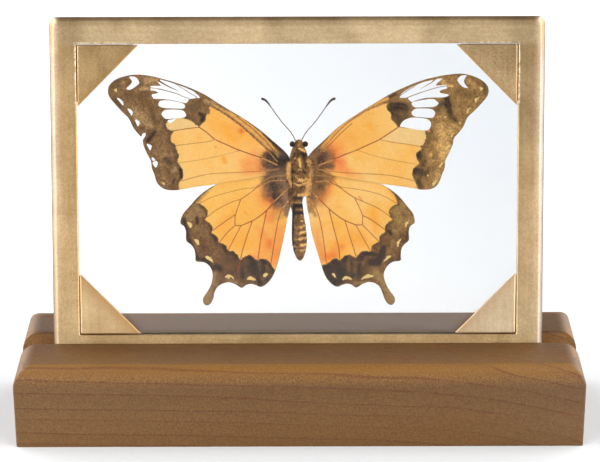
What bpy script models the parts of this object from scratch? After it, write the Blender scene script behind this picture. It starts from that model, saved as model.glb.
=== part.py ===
"""A pressed butterfly between two panes of glass, in a brass frame that leans in a slotted wooden block.

Every size below is in millimetres and is turned into metres where a mesh is made. The block stands on
z = 0 with its underside centred on the origin, and the front looks along -Y. The frame, its glass and
the butterfly are modelled flat about the middle of the glass, x to the right, y up and z to the front,
and hang from one empty that leans them back.
"""

import math

import bmesh
import bpy
from mathutils import Vector

MM = 0.001
GAP = 0.3  # clearance between pieces that touch
SMOOTH_ANGLE = math.radians(35)  # sharper edges than this stay crisp

# wooden block
BASE_WIDTH = 190.0
BASE_DEPTH = 50.0
BASE_HEIGHT = 28.0
BASE_ROUNDING = 6.0
BASE_ROUNDING_STEPS = 7
BASE_ARRIS = 0.5
SLOT_FRONT_Y = -3.8  # where the slot's front wall meets the top of the block

# brass frame
LEAN = math.radians(17.0)
OPENING_WIDTH = 148.0
OPENING_HEIGHT = 98.3
RAIL_WIDTH = 9.0
FRAME_THICKNESS = 8.0
RAIL_SHOWING = 2.9  # how much of the bottom rail stands above the slot
FRAME_SHIFT = -0.5  # the frame sits a little left of the block's middle
OUTER_ROUNDING = 2.0
OUTER_CORNER_RADIUS = 2.4
INNER_ROUNDING = 0.4
INNER_CORNER_RADIUS = 0.5
CORNER_STEPS = 4
QUARTERS = [(1, 1), (-1, 1), (-1, -1), (1, -1)]  # right and up, turning left from the top right

# glass and the space for the butterfly
CAVITY = 2.4
PANE_THICKNESS = 1.5
GLASS_LAP = 2.0  # how far the glass reaches into the brass

# corner plates
PLATE_LEG = 20.6
PLATE_THICKNESS = 0.6
PLATE_BEVEL = 0.15
PLATE_CORNERS = [("top_left", -1, 1), ("top_right", 1, 1), ("bottom_left", -1, -1), ("bottom_right", 1, -1)]

# butterfly, right half: x from its middle line, y from the middle of the glass
BUTTERFLY_X = 0.35
WING_THICKNESS = 0.35
OUTLINE_STEPS = 2  # straight pieces between two points of an outline
FOREWING_Z = 0.2  # back face of each pair
HINDWING_Z = -0.45
FOREWING_OUTLINE = [
    (3.3, 11.2), (9.3, 17.0), (14.5, 21.3), (20.0, 24.9), (26.8, 28.7), (32.5, 32.3), (38.2, 35.0),
    (44.4, 37.05), (50.4, 38.5), (55.6, 38.8), (60.2, 37.5), (63.2, 35.3), (63.95, 33.2), (63.5, 31.3),
    (61.95, 29.3), (59.45, 26.6), (56.95, 24.2), (55.6, 21.1), (53.9, 18.8), (52.6, 17.2), (52.25, 15.0),
    (51.0, 12.0), (49.8, 9.6), (49.5, 7.2), (48.4, 4.6), (47.5, 2.3), (46.0, 0.55), (43.8, -0.15),
    (41.0, -0.15), (38.3, 0.35), (33.8, 1.05), (27.0, 1.95), (22.5, 2.7), (17.3, 3.4), (12.6, 4.4),
    (9.4, 5.25), (6.1, 6.0), (3.3, 6.4),
]
HINDWING_OUTLINE = [
    (3.3, 7.0), (8.0, 7.6), (14.0, 6.8), (20.0, 4.9), (25.3, 2.6), (29.0, 1.1), (31.8, -0.7),
    (34.4, -2.95), (36.8, -5.8), (38.9, -8.35), (39.65, -10.8), (39.35, -11.9), (38.35, -12.55),
    (37.7, -14.4), (37.65, -17.45), (36.2, -18.7), (35.0, -20.4), (34.65, -22.7), (34.55, -24.4),
    (32.0, -24.85), (30.2, -26.2), (29.15, -28.2), (29.05, -29.95), (29.9, -32.7), (31.3, -35.2),
    (32.55, -37.1), (32.5, -38.8), (31.5, -39.65), (30.2, -39.15), (29.2, -37.4), (28.75, -35.35),
    (27.7, -33.35), (25.85, -32.15), (23.75, -31.75), (21.65, -32.4), (19.5, -33.65), (17.95, -32.7),
    (16.4, -32.3), (14.75, -32.7), (13.0, -33.35), (11.0, -32.3), (9.3, -30.2), (8.0, -27.2),
    (6.6, -22.2), (5.6, -18.3), (4.7, -14.4), (3.7, -9.6), (2.85, -6.0), (2.45, -3.0), (2.95, -0.6),
    (3.3, 2.0),
]
ANTENNA_PATH = [
    (0.95, 16.4), (2.7, 19.5), (5.4, 22.5), (7.75, 25.7), (9.5, 28.2), (11.0, 30.05), (12.5, 30.7),
]
ANTENNA_RADIUS = 0.14
ANTENNA_STEPS = 3
ANTENNA_SIDES = 8
ANTENNA_Z = 0.1
CLUB_RADIUS = 0.36
CLUB_LENGTH = 3.4
CLUB_TIP_SHARE = 0.5  # radius left at the very tip

# butterfly body: stations along y with half the width and half the thickness
BODY_STATIONS = [
    (16.8, 0.25, 0.15), (16.3, 0.85, 0.45), (15.6, 1.45, 0.65), (14.8, 1.85, 0.75), (14.0, 2.1, 0.78),
    (13.2, 2.3, 0.8), (12.2, 2.7, 0.85), (11.0, 2.95, 0.9), (9.0, 3.0, 0.9), (6.0, 3.0, 0.9),
    (3.5, 2.95, 0.9), (1.5, 2.85, 0.88), (0.0, 2.5, 0.82), (-1.6, 2.0, 0.72), (-3.2, 1.6, 0.62),
    (-4.3, 1.45, 0.6),
]
BODY_SIDES = 16
ABDOMEN_START = -4.6
ABDOMEN_TIP = -24.45
ABDOMEN_HALF_WIDTHS = [1.7, 1.85, 2.0, 2.25, 2.45, 2.6, 2.5, 2.05, 1.3]
ABDOMEN_TIP_HALVES = (0.3, 0.2)
ABDOMEN_THICKNESS_SHARE = 0.36
SEGMENT_SHAPE = [(0.08, 0.9), (0.3, 1.0), (0.75, 1.0)]  # share of its length, share of its width
EYE_CENTRE = (2.12, 15.2)
EYE_RADIUS = 0.85
LEG_ROOTS = [9.6, 7.0, 4.4]
LEG_ROOT_X = 1.1
LEG_RADII = [0.2, 0.2, 0.17, 0.14, 0.1]
LEG_SIDES = 6
LEG_DEPTH = -0.97
LEG_STEPS = [(0.5, 0.1), (2.9, 0.9), (-1.3, -4.4), (-0.6, -2.6)]  # hip, femur, tibia and foot


def clear_scene():
    for item in list(bpy.data.objects):
        bpy.data.objects.remove(item)


def material(name, colour, roughness, metallic=0.0, transmission=0.0):
    made = bpy.data.materials.new(name)
    made.use_nodes = True
    surface = made.node_tree.nodes["Principled BSDF"]
    surface.inputs["Base Color"].default_value = (*colour, 1.0)
    surface.inputs["Roughness"].default_value = roughness
    surface.inputs["Metallic"].default_value = metallic
    surface.inputs["Transmission Weight"].default_value = transmission
    return made


def add_object(name, mesh_data, finish, parent=None):
    """Turns a bmesh in millimetres into a named object in metres."""
    bmesh.ops.scale(mesh_data, vec=(MM, MM, MM), verts=mesh_data.verts)
    bmesh.ops.recalc_face_normals(mesh_data, faces=mesh_data.faces)
    mesh = bpy.data.meshes.new(name)
    mesh_data.to_mesh(mesh)
    mesh_data.free()
    made = bpy.data.objects.new(name, mesh)
    made.data.materials.append(finish)
    made.parent = parent
    bpy.context.scene.collection.objects.link(made)
    return made


def hide_cutter(cutter):
    cutter.hide_render = True
    cutter.display_type = "WIRE"


def add_boolean(target, other, operation):
    hide_cutter(other)
    modifier = target.modifiers.new(f"{operation.lower()} {other.name}", "BOOLEAN")
    modifier.operation = operation
    modifier.object = other


def block(lowest, highest):
    """A box between two corners, as a bmesh."""
    made = bmesh.new()
    bmesh.ops.create_cube(made, size=1.0)
    low, high = Vector(lowest), Vector(highest)
    for vert in made.verts:
        vert.co = Vector(low[i] + (vert.co[i] + 0.5) * (high[i] - low[i]) for i in range(3))
    return made


def smooth_through(points, steps, closed):
    """Points of a smooth curve through the given ones, with so many steps between two of them."""
    count = len(points)
    spans = count if closed else count - 1
    curve = []
    for i in range(spans):
        if closed:
            p0, p1, p2, p3 = (Vector(points[(i + k) % count]) for k in (-1, 0, 1, 2))
        else:
            p0, p1, p2, p3 = (Vector(points[min(max(i + k, 0), count - 1)]) for k in (-1, 0, 1, 2))
        for step in range(steps):
            t = step / steps
            curve.append(
                0.5 * (2 * p1 + (p2 - p0) * t + (2 * p0 - 5 * p1 + 4 * p2 - p3) * t**2
                       + (3 * p1 - p0 - 3 * p2 + p3) * t**3)
            )
    if not closed:
        curve.append(Vector(points[-1]))
    return curve


def plate(outline, low_z, high_z):
    """A flat plate with the given outline, as a bmesh."""
    made = bmesh.new()
    bottom = [made.verts.new((x, y, low_z)) for x, y in outline]
    face = made.faces.new(bottom)
    raised = bmesh.ops.extrude_face_region(made, geom=[face])["geom"]
    verts = [item for item in raised if isinstance(item, bmesh.types.BMVert)]
    bmesh.ops.translate(made, vec=(0, 0, high_z - low_z), verts=verts)
    return made


def skin(rings):
    """A closed bmesh through rings of as many points each, with flat ends."""
    made = bmesh.new()
    loops = [[made.verts.new(point) for point in ring] for ring in rings]
    sides = len(loops[0])
    for first, second in zip(loops, loops[1:]):
        for i in range(sides):
            j = (i + 1) % sides
            made.faces.new((first[i], first[j], second[j], second[i]))
    made.faces.new(loops[0])
    made.faces.new(loops[-1])
    return made


def tube(path, radii, sides):
    """A round closed tube along a path, with one radius for each of its points."""
    rings = []
    for i, centre in enumerate(path):
        ahead = (path[min(i + 1, len(path) - 1)] - path[max(i - 1, 0)]).normalized()
        across = ahead.cross(Vector((0, 0, 1))).normalized()
        upward = across.cross(ahead)
        ring = []
        for side in range(sides):
            angle = 2 * math.pi * side / sides
            ring.append(centre + radii[i] * (across * math.cos(angle) + upward * math.sin(angle)))
        rings.append(ring)
    return skin(rings)


def mirrored(points, side):
    """The right half's points, for side 1, or their mirror image for side -1, about the body's line."""
    placed = [(BUTTERFLY_X + side * point[0], *point[1:]) for point in points]
    return placed if side > 0 else placed[::-1]


def make_frame_empty():
    """The middle of the glass, leaning back: its y runs up the frame and its z out of the front."""
    reach = RAIL_SHOWING + OPENING_HEIGHT / 2
    half = FRAME_THICKNESS / 2
    empty = bpy.data.objects.new("frame_middle", None)
    bpy.context.scene.collection.objects.link(empty)
    empty.location = (
        FRAME_SHIFT * MM,
        (SLOT_FRONT_Y + GAP / math.cos(LEAN) + reach * math.sin(LEAN) + half * math.cos(LEAN)) * MM,
        (BASE_HEIGHT + reach * math.cos(LEAN) - half * math.sin(LEAN)) * MM,
    )
    empty.rotation_euler = (math.pi / 2 - LEAN, 0, 0)
    return empty


def base_ring(inset, height):
    """The block's outline at one height, with its upright corners cut by a small arris."""
    x = BASE_WIDTH / 2 - inset
    y = BASE_DEPTH / 2 - inset
    cut = BASE_ARRIS
    corners = []
    for right, front in ((1, 1), (-1, 1), (-1, -1), (1, -1)):
        pair = [(right * x, front * (y - cut), height), (right * (x - cut), front * y, height)]
        corners += pair if right == front else pair[::-1]
    return corners


def make_base(finish, frame_middle):
    """The block, rounded round its top, with the slot cut at the frame's own lean."""
    rings = [base_ring(0, 0)]
    for step in range(BASE_ROUNDING_STEPS + 1):
        angle = math.pi / 2 * step / BASE_ROUNDING_STEPS
        inset = BASE_ROUNDING * (1 - math.cos(angle))
        rings.append(base_ring(inset, BASE_HEIGHT - BASE_ROUNDING * (1 - math.sin(angle))))
    base = add_object("wood_base", skin(rings), finish)

    floor_y = -OPENING_HEIGHT / 2 - RAIL_WIDTH - GAP
    half = FRAME_THICKNESS / 2 + GAP
    slot = block((-BASE_WIDTH, floor_y, -half), (BASE_WIDTH, floor_y + BASE_HEIGHT, half))
    add_boolean(base, add_object("slot_cutter", slot, finish, frame_middle), "DIFFERENCE")


def rail_profile():
    """The brass bar's section: distance out from the opening's edge, height, and a corner radius."""
    half = FRAME_THICKNESS / 2
    groove = CAVITY / 2 + PANE_THICKNESS + GAP
    profile = []

    def arc(centre_out, centre_z, radius, start):
        for step in range(CORNER_STEPS + 1):
            angle = math.radians(start + 90 * step / CORNER_STEPS)
            profile.append((centre_out + radius * math.cos(angle), centre_z + radius * math.sin(angle)))

    arc(RAIL_WIDTH - OUTER_ROUNDING, half - OUTER_ROUNDING, OUTER_ROUNDING, 0)
    arc(INNER_ROUNDING, half - INNER_ROUNDING, INNER_ROUNDING, 90)
    profile.append((0.0, groove))
    profile.append((GLASS_LAP + GAP, groove))
    profile.append((GLASS_LAP + GAP, -groove))
    profile.append((0.0, -groove))
    arc(INNER_ROUNDING, INNER_ROUNDING - half, INNER_ROUNDING, 180)
    arc(RAIL_WIDTH - OUTER_ROUNDING, OUTER_ROUNDING - half, OUTER_ROUNDING, 270)
    return profile


def make_brass_frame(finish, frame_middle):
    """The bar's section carried round the opening, with rounded corners."""
    profile = rail_profile()
    made = bmesh.new()
    loops = []
    for out, height in profile:
        share = out / RAIL_WIDTH
        radius = INNER_CORNER_RADIUS + (OUTER_CORNER_RADIUS - INNER_CORNER_RADIUS) * share
        loop = []
        for quarter, (right, up) in enumerate(QUARTERS):
            centre_x = right * (OPENING_WIDTH / 2 + out - radius)
            centre_y = up * (OPENING_HEIGHT / 2 + out - radius)
            for step in range(CORNER_STEPS + 1):
                angle = math.radians(90 * (quarter + step / CORNER_STEPS))
                x = centre_x + radius * math.cos(angle)
                y = centre_y + radius * math.sin(angle)
                loop.append(made.verts.new((x, y, height)))
        loops.append(loop)
    around = len(loops[0])
    for k, loop in enumerate(loops):
        following = loops[(k + 1) % len(loops)]
        for i in range(around):
            j = (i + 1) % around
            made.faces.new((loop[i], loop[j], following[j], following[i]))
    add_object("brass_frame", made, finish, frame_middle)


def make_glass(finish, frame_middle):
    half_width = OPENING_WIDTH / 2 + GLASS_LAP
    half_height = OPENING_HEIGHT / 2 + GLASS_LAP
    for name, side in (("front_glass", 1), ("back_glass", -1)):
        near, far = sorted((side * CAVITY / 2, side * (CAVITY / 2 + PANE_THICKNESS)))
        pane = block((-half_width, -half_height, near), (half_width, half_height, far))
        add_object(name, pane, finish, frame_middle)


def make_corner_plates(finish, frame_middle):
    """Right-angled triangles in the four corners of the opening, in front and behind."""
    near = CAVITY / 2 + PANE_THICKNESS + GAP
    for face, front in (("front", 1), ("back", -1)):
        low, high = sorted((front * near, front * (near + PLATE_THICKNESS)))
        for corner, right, up in PLATE_CORNERS:
            x = right * (OPENING_WIDTH / 2 - GAP)
            y = up * (OPENING_HEIGHT / 2 - GAP)
            outline = [
                (x - right * INNER_CORNER_RADIUS, y),
                (x - right * PLATE_LEG, y),
                (x, y - up * PLATE_LEG),
                (x, y - up * INNER_CORNER_RADIUS),
            ]
            triangle = plate(outline, low, high)
            middle = near + PLATE_THICKNESS / 2
            outside = [e for e in triangle.edges if all(abs(v.co.z) > middle for v in e.verts)]
            bmesh.ops.bevel(triangle, geom=outside, offset=PLATE_BEVEL, segments=2, affect="EDGES")
            add_object(f"{face}_plate_{corner}", triangle, finish, frame_middle)


def make_wings(finish, frame_middle):
    for kind, outline, low in (
        ("forewing", FOREWING_OUTLINE, FOREWING_Z), ("hindwing", HINDWING_OUTLINE, HINDWING_Z),
    ):
        for name, side in (("left", -1), ("right", 1)):
            curve = smooth_through(mirrored(outline, side), OUTLINE_STEPS, closed=True)
            wing = plate(curve, low, low + WING_THICKNESS)
            add_object(f"{name}_{kind}", wing, finish, frame_middle)


def make_antennae(finish, frame_middle):
    for name, side in (("left", -1), ("right", 1)):
        path = [Vector((x, y, ANTENNA_Z)) for x, y in mirrored(ANTENNA_PATH, side)]
        if side < 0:
            path.reverse()
        path = smooth_through(path, ANTENNA_STEPS, closed=False)
        radii = []
        for i in range(len(path)):
            to_tip = sum((b - a).length for a, b in zip(path[i:], path[i + 1:]))
            swell = max(0.0, 1 - to_tip / CLUB_LENGTH)
            rounding = min(1.0, CLUB_TIP_SHARE + to_tip / CLUB_RADIUS)
            radii.append((ANTENNA_RADIUS + (CLUB_RADIUS - ANTENNA_RADIUS) * swell) * rounding)
        add_object(f"{name}_antenna", tube(path, radii, ANTENNA_SIDES), finish, frame_middle)


def body_stations():
    """Head and thorax as listed, then the abdomen's segments with a groove between each two."""
    stations = list(BODY_STATIONS)
    count = len(ABDOMEN_HALF_WIDTHS)
    length = (ABDOMEN_START - ABDOMEN_TIP) / count
    for i, half_width in enumerate(ABDOMEN_HALF_WIDTHS):
        start = ABDOMEN_START - i * length
        for share, size in SEGMENT_SHAPE:
            width = half_width * size
            stations.append((start - share * length, width, width * ABDOMEN_THICKNESS_SHARE))
    stations.append((ABDOMEN_TIP, *ABDOMEN_TIP_HALVES))
    return stations


def make_body(finish, frame_middle):
    rings = []
    for y, half_width, half_thickness in body_stations():
        ring = []
        for side in range(BODY_SIDES):
            angle = 2 * math.pi * side / BODY_SIDES
            x = BUTTERFLY_X + half_width * math.cos(angle)
            ring.append((x, y, half_thickness * math.sin(angle)))
        rings.append(ring)
    body = add_object("butterfly_body", skin(rings), finish, frame_middle)

    for name, side in (("left", -1), ("right", 1)):
        eye = bmesh.new()
        bmesh.ops.create_icosphere(eye, subdivisions=2, radius=EYE_RADIUS)
        middle = (BUTTERFLY_X + side * EYE_CENTRE[0], EYE_CENTRE[1], 0)
        bmesh.ops.translate(eye, vec=middle, verts=eye.verts)
        add_boolean(body, add_object(f"{name}_eye_shape", eye, finish, frame_middle), "UNION")
        for number, root_y in enumerate(LEG_ROOTS):
            path = [Vector((BUTTERFLY_X + side * LEG_ROOT_X, root_y, LEG_DEPTH / 2))]
            for across, along in LEG_STEPS:
                last = path[-1]
                path.append(Vector((last.x + side * across, last.y + along, LEG_DEPTH)))
            leg = tube(path, LEG_RADII, LEG_SIDES)
            shape = add_object(f"{name}_leg_shape_{number}", leg, finish, frame_middle)
            add_boolean(body, shape, "UNION")


def shade_round_pieces(names):
    for name in names:
        mesh = bpy.data.objects[name].data
        mesh.shade_smooth()
        mesh.set_sharp_from_angle(angle=SMOOTH_ANGLE)


def main():
    clear_scene()
    wood = material("brown wood", (0.25, 0.125, 0.06), 0.42)
    brass = material("satin brass", (0.78, 0.55, 0.27), 0.38, metallic=1.0)
    glass = material("clear glass", (1.0, 1.0, 1.0), 0.02, transmission=1.0)
    wing = material("orange wing", (0.85, 0.4, 0.1), 0.75)
    body = material("brown body", (0.16, 0.1, 0.05), 0.8)

    frame_middle = make_frame_empty()
    make_base(wood, frame_middle)
    make_brass_frame(brass, frame_middle)
    make_glass(glass, frame_middle)
    make_corner_plates(brass, frame_middle)
    make_wings(wing, frame_middle)
    make_antennae(body, frame_middle)
    make_body(body, frame_middle)
    shade_round_pieces(["wood_base", "brass_frame", "butterfly_body", "left_antenna", "right_antenna"])


main()
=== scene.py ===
"""Looks of a pressed butterfly between two panes of glass, in a brass frame that leans in a wooden block.

Lengths below are in millimetres and are turned into metres where a mesh is made. The block stands on z = 0
with its front to -Y. The frame, its glass and the butterfly are modelled flat about the middle of the
glass, x to the right, y up and z to the front, and are leaned back by one matrix. The butterfly's points
are written for a wing that spreads to the right: x is the distance out from the middle of its body.
"""

import math

import bmesh
import bpy
import numpy as np
from mathutils import Matrix, Vector, geometry, noise


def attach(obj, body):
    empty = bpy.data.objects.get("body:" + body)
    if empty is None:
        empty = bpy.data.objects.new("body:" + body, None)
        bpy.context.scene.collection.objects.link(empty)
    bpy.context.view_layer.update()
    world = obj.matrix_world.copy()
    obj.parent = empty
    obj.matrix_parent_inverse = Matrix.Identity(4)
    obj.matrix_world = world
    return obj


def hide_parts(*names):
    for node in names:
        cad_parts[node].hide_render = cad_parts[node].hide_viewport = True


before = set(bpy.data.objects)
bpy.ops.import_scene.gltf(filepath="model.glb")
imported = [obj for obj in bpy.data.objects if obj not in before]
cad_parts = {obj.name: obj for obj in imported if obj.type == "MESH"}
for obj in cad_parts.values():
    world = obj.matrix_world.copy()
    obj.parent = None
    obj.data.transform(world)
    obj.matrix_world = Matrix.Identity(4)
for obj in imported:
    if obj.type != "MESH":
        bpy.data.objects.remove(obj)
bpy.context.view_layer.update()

MM = 0.001
BODY = "root"
SEED = 7

# wooden block
BASE_WIDTH = 190.0
BASE_DEPTH = 50.0
BASE_HEIGHT = 28.0
BASE_ROUNDING = 6.0
BASE_ARRIS = 0.5
BASE_EDGE = 0.22  # worn width of the sharp edges
SLOT_FRONT_Y = -3.8  # where the slot's front wall meets the top of the block
GAP = 0.3  # clearance round what lies in a slot or groove

# brass frame, corner plates and glass
LEAN = math.radians(17.0)
OPENING_WIDTH = 148.0
OPENING_HEIGHT = 98.3
RAIL_WIDTH = 9.0
FRAME_THICKNESS = 8.0
RAIL_SHOWING = 2.9  # how much of the lower rail is above the block
FRAME_SHIFT = -0.5  # from the middle of the block
OUTER_ROUNDING = 2.0
OUTER_CORNER_RADIUS = 2.4
INNER_ROUNDING = 0.4
INNER_CORNER_RADIUS = 0.5
QUARTERS = [(1, 1), (-1, 1), (-1, -1), (1, -1)]
CAVITY = 2.4  # between the panes
PANE_THICKNESS = 1.5
PANE_ARRIS = 0.12
GLASS_LAP = 2.0  # how far each pane reaches into the brass
PLATE_LEG = 20.6
PLATE_THICKNESS = 0.6
PLATE_BEVEL = 0.15
PLATE_CORNERS = [("top_left", -1, 1), ("top_right", 1, 1), ("bottom_left", -1, -1), ("bottom_right", 1, -1)]

# butterfly
BUTTERFLY_X = 0.35
FOREWING_Z = 0.375  # middle of the thickness
HINDWING_Z = -0.275
WING_THICKNESS = 0.15
WING_SPACING = 0.27  # between two mesh points
VEIN_HEIGHT = 0.03

# mesh making
LINE_CLEARANCE = 0.45  # how near to a line other points come, as a share of their spacing
NEAR_ENOUGH = 1e-5  # points nearer than this are one point
SLIVER_AREA = 1e-7  # faces smaller than this are left out


# ---------------------------------------------------------------- flat geometry

def smooth_through(points, steps, closed=True):
    """A smooth curve through the given points, with so many steps between two of them."""
    points = np.asarray(points, float)
    count = len(points)
    curve = []
    for i in range(count if closed else count - 1):
        around = [(i + k) % count if closed else min(max(i + k, 0), count - 1) for k in (-1, 0, 1, 2)]
        p0, p1, p2, p3 = points[around]
        for step in range(steps):
            t = step / steps
            curve.append(
                0.5 * (2 * p1 + (p2 - p0) * t + (2 * p0 - 5 * p1 + 4 * p2 - p3) * t**2
                       + (3 * p1 - p0 - 3 * p2 + p3) * t**3)
            )
    if not closed:
        curve.append(points[-1])
    return np.array(curve)


def distance_to_path(points, path, closed=False):
    """How far each point is from a path of straight pieces."""
    ends = np.roll(path, -1, axis=0) if closed else path[1:]
    best = np.full(len(points), 1e3)
    for start, end in zip(path, ends):
        along = end - start
        share = np.clip((points - start) @ along / max(along @ along, 1e-12), 0, 1)
        best = np.minimum(best, np.linalg.norm(points - start - share[:, None] * along, axis=1))
    return best


def is_inside(points, outline):
    """Which points lie inside a closed outline."""
    x, y = points.T
    inside = np.zeros(len(points), bool)
    for (x0, y0), (x1, y1) in zip(outline, np.roll(outline, -1, axis=0)):
        crosses = (y0 > y) != (y1 > y)
        reach = x0 + (x1 - x0) * (y - y0) / (y1 - y0 if y1 != y0 else 1.0)
        inside ^= crosses & (x < reach)
    return inside


def depth_inside(points, outlines):
    """Distance in from the edge of the nearest outline, below zero outside all of them."""
    depth = np.full(len(points), -1e3)
    for outline in outlines:
        sign = np.where(is_inside(points, outline), 1, -1)
        depth = np.maximum(depth, sign * distance_to_path(points, outline, closed=True))
    return depth


def soft_strokes(points, strokes):
    """Soft brush strokes from point to point, with a radius and a strength: 0 to 1 where they overlap."""
    clear = np.ones(len(points))
    for start, end, radius, strength in strokes:
        away = distance_to_path(points, np.array([start, end], float)) / radius
        clear *= 1 - strength * np.exp(-(away**2))
    return 1 - clear


def triangulate(outline, lines, spacing):
    """Points and triangles that fill an outline evenly, with edges along the given lines.

    Each line is a curve and whether it is closed.
    """
    low, high = outline.min(axis=0), outline.max(axis=0)
    row_height = spacing * math.sqrt(3) / 2
    rows = np.arange(low[1], high[1], row_height)
    columns = np.arange(low[0], high[0], spacing)
    x, y = np.meshgrid(columns, rows)
    x = x + np.where(np.arange(len(rows)) % 2, spacing / 2, 0)[:, None]
    grid = np.column_stack([x.ravel(), y.ravel()])
    clear = is_inside(grid, outline)
    lines = [(outline, True)] + lines
    for line, closed in lines:
        clear &= distance_to_path(grid, line, closed) > LINE_CLEARANCE * spacing
    points = [Vector(point) for point in grid[clear]]
    edges = []
    for line, closed in lines:
        first = len(points)
        points += [Vector(point) for point in line]
        edges += [(first + i, first + i + 1) for i in range(len(line) - 1)]
        if closed:
            edges.append((first + len(line) - 1, first))
    verts, _, faces, *_ = geometry.delaunay_2d_cdt(points, edges, [], 0, NEAR_ENOUGH)
    verts = np.array([tuple(vert) for vert in verts])
    faces = np.array([face for face in faces if len(face) == 3])
    a, b, c = verts[faces[:, 0]], verts[faces[:, 1]], verts[faces[:, 2]]
    area = (b[:, 0] - a[:, 0]) * (c[:, 1] - a[:, 1]) - (b[:, 1] - a[:, 1]) * (c[:, 0] - a[:, 0])
    faces[area < 0] = faces[area < 0][:, ::-1]
    middles = verts[faces].mean(axis=1)
    keep = is_inside(middles, outline) & (np.abs(area) > SLIVER_AREA)
    return verts, faces[keep]


def closed_sheet(faces, count):
    """Faces of a closed sheet: the front, the back, and walls round every free edge."""
    directed = {(int(face[i]), int(face[(i + 1) % 3])) for face in faces for i in range(3)}
    front = faces.tolist()
    back = (faces[:, ::-1] + count).tolist()
    walls = [(i, i + count, j + count, j) for i, j in sorted(directed) if (j, i) not in directed]
    return front + back + walls


# ---------------------------------------------------------------- objects

def frame_matrix():
    """The middle of the glass, leaning back."""
    reach = RAIL_SHOWING + OPENING_HEIGHT / 2
    half = FRAME_THICKNESS / 2
    middle = Vector((
        FRAME_SHIFT,
        SLOT_FRONT_Y + GAP / math.cos(LEAN) + reach * math.sin(LEAN) + half * math.cos(LEAN),
        BASE_HEIGHT + reach * math.cos(LEAN) - half * math.sin(LEAN),
    ))
    return Matrix.Translation(middle * MM) @ Matrix.Rotation(math.pi / 2 - LEAN, 4, "X")


LEANING = frame_matrix()
SHARP_ANGLE = math.radians(40)


def add_piece(name, mesh, materials, node, place=LEANING, sharp=SHARP_ANGLE):
    """Links a mesh in millimetres as a piece of the object that stands for one node."""
    mesh.transform(Matrix.Scale(MM, 4))
    for finish in materials:
        mesh.materials.append(finish)
    mesh.shade_smooth()
    mesh.set_sharp_from_angle(angle=sharp)
    piece = bpy.data.objects.new(name, mesh)
    piece.matrix_world = place
    bpy.context.scene.collection.objects.link(piece)
    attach(piece, BODY)
    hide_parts(node)
    return piece


def mesh_from(name, verts, faces):
    mesh = bpy.data.meshes.new(name)
    mesh.from_pydata(verts, [], faces)
    mesh.update()
    return mesh


def mesh_from_bmesh(name, made):
    bmesh.ops.recalc_face_normals(made, faces=made.faces)
    mesh = bpy.data.meshes.new(name)
    made.to_mesh(mesh)
    made.free()
    return mesh


def store(mesh, name, values):
    attribute = mesh.attributes.new(name, "FLOAT", "POINT")
    attribute.data.foreach_set("value", np.asarray(values, np.float32))


# ---------------------------------------------------------------- finishes

def paint(red, green, blue, light=1.0, veil=0.0):
    """A colour as seen, 0 to 255, as the shader's own numbers, under so much light and reflected veil."""
    linear = []
    for value in (red, green, blue):
        share = value / 255
        share = share / 12.92 if share < 0.04045 else ((share + 0.055) / 1.055) ** 2.4
        linear.append(max((share - veil) / light, 0.003))
    return (*linear, 1.0)


class Output:
    """An output of a material's nodes; arithmetic with it adds the node that does the sum."""

    def __init__(self, finish, socket):
        self.finish = finish
        self.socket = socket

    def __add__(self, other):
        return self.finish.math("ADD", self, other)

    def __sub__(self, other):
        return self.finish.math("SUBTRACT", self, other)

    def __rsub__(self, other):
        return self.finish.math("SUBTRACT", other, self)

    def __mul__(self, other):
        return self.finish.math("MULTIPLY", self, other)

    def __truediv__(self, other):
        return self.finish.math("DIVIDE", self, other)

    def __abs__(self):
        return self.finish.math("ABSOLUTE", self)


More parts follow.
